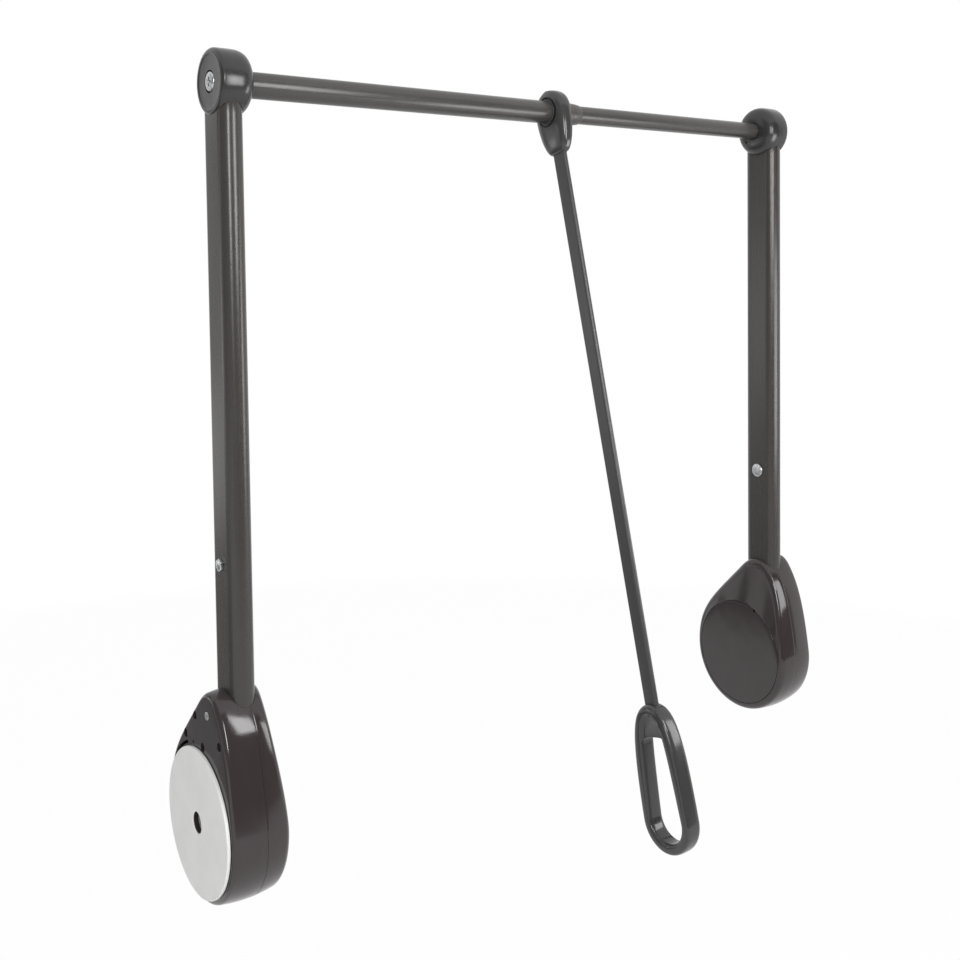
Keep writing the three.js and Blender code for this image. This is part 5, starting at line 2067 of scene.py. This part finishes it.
    def build_handle(self) -> None:
        """The loop: between the outer edge and the opening, its section is a rounded bar.

        The bar is |u|^q + |v|^q = 1 across and through, so that the grips are smooth all round.
        """
        outer = spaced(self.outer_outline(), 260, closed=False)[:-1]
        inner = spaced(self.inner_outline(), 260, closed=False)[:-1]
        middle, reach = (outer + inner) / 2, (outer - inner) / 2
        across, through = squared(40, self.grip_power)
        flat = middle[:, None, :] + reach[:, None, :] * across[None, :, None]
        x = np.repeat((self.handle_depth / 2 * through)[None, :], len(flat), axis=0)
        rows = np.concatenate([x[:, :, None], flat], axis=2)
        made = self.bench.rough("handle_plastic", Form.grid(rows, ring=True))
        self.sink_web(made)
        low = self.handle_top - self.socket_start
        socket = self.rod_form(self.rod_bottom, self.rod_bottom, low, self.rod_end + GAP, GAP)
        self.bench.shape(made, Cut.REMOVE, socket)
        self.bench.shape(made, Cut.REMOVE, self.screw_form(*self.screws()["handle_screw"], GAP))
        self.hang(made)
        self.bench.finish(made, PALETTE.pull, "pull", "handle", 40.0)

    def web_arch(self) -> Array:
        """The edge of the sunk web in Y and Z: an arch over the opening, its feet just inside the grips."""
        foot = -self.handle_top - self.web - self.opening_corner
        reach = self.opening_top / 2 + self.arch_reach
        top = arc((0.0, foot), (reach, -self.handle_top - self.arch_top - foot), 0.0, 180.0, 64)
        return np.vstack([top, [[-reach, foot - self.arch_foot], [reach, foot - self.arch_foot]]])

    def sink_web(self, made: bpy.types.Object) -> None:
        """Sinks both faces of the web above the opening, with sloping walls, round a boss for the screw.

        Args:
            made: the handle.
        """
        face = self.handle_depth / 2
        floor = face - self.web_sink
        outline = self.web_arch()
        middle = np.array([0.0, -self.handle_top - self.web])
        low, soft = floor - self.boss_root, self.boss_round
        boss = [(low, 0), (low, self.boss), (face - soft, self.boss), (face, self.boss - soft), (face, 0)]
        for sign in (-1.0, 1.0):
            rows = []
            for rise, share in self.web_walls:
                rows.append(upright(middle + (outline - middle) * share, sign * (floor + rise)))
            tool = self.bench.rough("web_tool", Form.grid(np.array(rows)))
            if sign > 0:
                post = Form.turned(np.array(boss, float), 40, 0.0, -self.handle_screw_z)
                self.bench.shape(tool, Cut.REMOVE, post)
            self.bench.subtract(made, tool)

    def build(self) -> None:
        """Ring, rod, handle and screws."""
        self.build_ring()
        self.build_rod()
        self.build_handle()
        self.build_screws()


# The studio


@dataclass(frozen=True)
class Panel:
    """A soft light panel that faces the rod. Its level is its radiance, where white is 1."""

    name: str
    place: Triple
    aim: Triple
    width: float
    height: float
    level: float
    glow: Glow

    def build(self) -> None:
        """Adds the lamp, whose power is pi times its level and area."""
        lamp = bpy.data.lights.new(self.name, "AREA")
        lamp.shape = "RECTANGLE"
        lamp.size, lamp.size_y = self.width, self.height
        lamp.energy = math.pi * self.level * self.width * self.height
        made = placed(self.name, lamp)
        made.visible_glossy = self.glow is Glow.GLOSS
        made.visible_diffuse = self.glow is Glow.MATT
        made.location = self.place
        made.rotation_euler = (Vector(self.aim) - Vector(self.place)).to_track_quat("-Z", "Y").to_euler()


@dataclass(frozen=True)
class Card:
    """A flat card, square to the axes, that only gloss sees: a dark one keeps dark plastic dark."""

    name: str
    low: Triple
    high: Triple
    level: float

    def build(self) -> None:
        """Adds the card, in metres."""
        (x0, y0, z0), (x1, y1, z1) = self.low, self.high
        second = (x1, y0, z0) if x0 != x1 else (x0, y1, z0)
        last = (x0, y0, z1) if z0 != z1 else (x0, y1, z0)
        mesh = bpy.data.meshes.new(self.name)
        mesh.from_pydata([self.low, second, self.high, last], [], [[0, 1, 2, 3]])
        made = placed(self.name, mesh)
        material, graph = new_material(self.name)
        graph.surface(graph.node("ShaderNodeEmission", None, {"Color": WHITE, "Strength": self.level}))
        mesh.materials.append(material)
        made.visible_camera = made.visible_diffuse = made.visible_transmission = made.visible_shadow = False
        made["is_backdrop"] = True


@dataclass(frozen=True)
class Studio:
    """A pale floor, white surroundings, soft light panels, cards for the gloss and the camera."""

    floor_z: float = -0.42
    floor_half: float = 30.0
    floor_colour: float = 0.86
    floor_mottle: float = 0.02
    floor_glow: float = 0.96
    floor_fade: Pair = (0.9, 2.6)
    ambient: float = 0.6
    focal_px: float = 1170.2
    centre_px: Pair = (544.5, 315.0)
    yaw: float = 38.47
    pitch: float = 2.599
    roll: float = -0.561
    eye: Triple = (-436.0, -1114.5, 555.8)
    clip: Pair = (0.05, 100.0)
    panels: tuple[Panel, ...] = (
        Panel("panel_near", (0.38, -0.98, 0.78), (0.38, 0.0, 0.78), 0.36, 0.46, 10.5, Glow.GLOSS),
        Panel("panel_side", (1.0, -0.68, 0.37), (1.0, 0.0, 0.37), 0.5, 0.4, 6.5, Glow.GLOSS),
        Panel("panel_line", (-0.96, -1.75, 1.0), (0.03, 0.0, 0.9), 0.32, 0.8, 20.0, Glow.GLOSS),
        Panel("panel_high", (0.71, -1.75, 1.68), (0.3, 0.0, 0.4), 0.58, 0.95, 9.0, Glow.MATT),
        Panel("panel_right", (1.6, -1.75, 0.6), (0.8, 0.0, 0.4), 0.6, 1.2, 2.4, Glow.MATT),
        Panel("panel_fill", (-0.6, -2.2, 1.5), (0.4, 0.0, 0.4), 1.8, 1.4, 4.5, Glow.MATT),
    )
    cards: tuple[Card, ...] = (
        Card("card_front", (-3.0, -2.4, -0.42), (3.4, -2.4, 2.6), 0.03),
        Card("card_low", (-3.0, 0.15, -0.415), (-0.28, 3.0, -0.415), 0.25),
        Card("card_glow", (-2.05, 2.2, 0.1), (-1.5, 2.2, 0.5), 3.0),
        Card("card_back", (-3.0, 2.6, 0.85), (-1.4, 2.6, 1.8), 0.15),
        Card("card_flat", (-1.75, 3.0, 0.1), (-0.8, 3.0, 1.08), 0.45),
        Card("card_left", (-2.5, -2.4, 0.0), (-2.5, 1.2, 2.6), 0.25),
    )

    def camera(self) -> None:
        """The camera, from its turn, tilt and roll: forward = (sin y cos p, cos y cos p, -sin p)."""
        yaw, pitch, roll = (math.radians(v) for v in (self.yaw, self.pitch, self.roll))
        forward = Vector((math.sin(yaw) * math.cos(pitch), math.cos(yaw) * math.cos(pitch), -math.sin(pitch)))
        flat = Vector((math.cos(yaw), -math.sin(yaw), 0.0))
        right = math.cos(roll) * flat + math.sin(roll) * flat.cross(forward)
        data = bpy.data.cameras.new("camera")
        data.sensor_width = SENSOR
        data.lens = self.focal_px * SENSOR / PHOTO_SIZE
        data.shift_x = (PHOTO_SIZE / 2 - self.centre_px[0]) / PHOTO_SIZE
        data.shift_y = (self.centre_px[1] - PHOTO_SIZE / 2) / PHOTO_SIZE
        data.clip_start, data.clip_end = self.clip
        made = placed("camera", data)
        turn = Matrix((right, right.cross(forward), -forward)).transposed()
        made.matrix_world = Matrix.Translation(Vector(self.eye) * MM) @ turn.to_4x4()
        bpy.context.scene.camera = made

    def world(self) -> None:
        """White where the camera, gloss or glass looks, and a plain level of light elsewhere."""
        world = bpy.data.worlds.new("studio")
        world.use_nodes = True
        bpy.context.scene.world = world
        graph = Graph(world.node_tree)
        strength = self.seen(graph) * (1.0 - self.ambient) + self.ambient
        sky = graph.node("ShaderNodeBackground", None, {"Color": WHITE, "Strength": strength})
        graph.node("ShaderNodeOutputWorld", None, {"Surface": sky})

    def seen(self, graph: Graph) -> Value:
        """1 for rays that look at the surroundings: the camera's, and those off gloss or through glass."""
        path = graph.node("ShaderNodeLightPath")
        own, gloss, glass = (path.out(f"Is {kind} Ray") for kind in ("Camera", "Glossy", "Transmission"))
        return own.either(gloss).either(glass)

    def floor(self) -> None:
        """A wide pale floor that keeps the rod's shadow.

        It is nearly white to rays that look at it, and white far away, so that it meets the background.
        """
        x = np.linspace(-self.floor_half, self.floor_half, 9)
        gx, gy = np.meshgrid(x, x, indexing="xy")
        points = np.column_stack([gx.ravel(), gy.ravel(), np.full(gx.size, self.floor_z)])
        numbers = np.arange(gx.size).reshape(gx.shape)
        corners = [numbers[:-1, :-1], numbers[:-1, 1:], numbers[1:, 1:], numbers[1:, :-1]]
        mesh = bpy.data.meshes.new("floor")
        mesh.from_pydata(points.tolist(), [], np.stack(corners, axis=-1).reshape(-1, 4).tolist())
        made = placed("floor", mesh)
        material, graph = new_material("pale_floor")
        dark, light = self.floor_colour, self.floor_colour + self.floor_mottle
        tint = graph.blend(graph.noise(0.7), (dark, dark, dark, 1.0), (light, light, light, 1.0))
        matt = graph.node("ShaderNodeBsdfDiffuse", None, {"Color": tint})
        white = graph.node("ShaderNodeEmission", None, {"Color": WHITE, "Strength": 1.0})
        far = graph.length(graph.place()).between(*self.floor_fade)
        share = far.either(self.seen(graph) * self.floor_glow)
        graph.surface(graph.node("ShaderNodeMixShader", None, {0: share, 1: matt, 2: white}))
        mesh.materials.append(material)
        made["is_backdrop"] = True

    def build(self) -> None:
        """Camera, surroundings, floor, panels and cards, and colours shown as they are written."""
        self.camera()
        self.world()
        self.floor()
        for item in (*self.panels, *self.cards):
            item.build()
        bpy.context.scene.view_settings.view_transform = "Standard"


def corners(box: tuple[Vector, Vector]) -> list[list[float]]:
    """A box as plain lists of numbers."""
    return [[float(v) for v in corner] for corner in box]


def main() -> None:
    logging.basicConfig(level=logging.INFO, format="%(name)s: %(message)s")
    cad_box = corners(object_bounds())
    Studio().build()
    left, right, middle = (Bench(side) for side in (Side.LEFT, Side.RIGHT, None))
    for assembly in (WallMount, Housing, Arm, Knob):
        assembly(left).build()
        assembly(right).build()
    for assembly in (HangingBar, Pull):
        assembly(middle).build()
    log.info("%d pieces", left.count + right.count + middle.count)
    visual_box = corners(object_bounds())


if __name__ == "__main__":
    main()
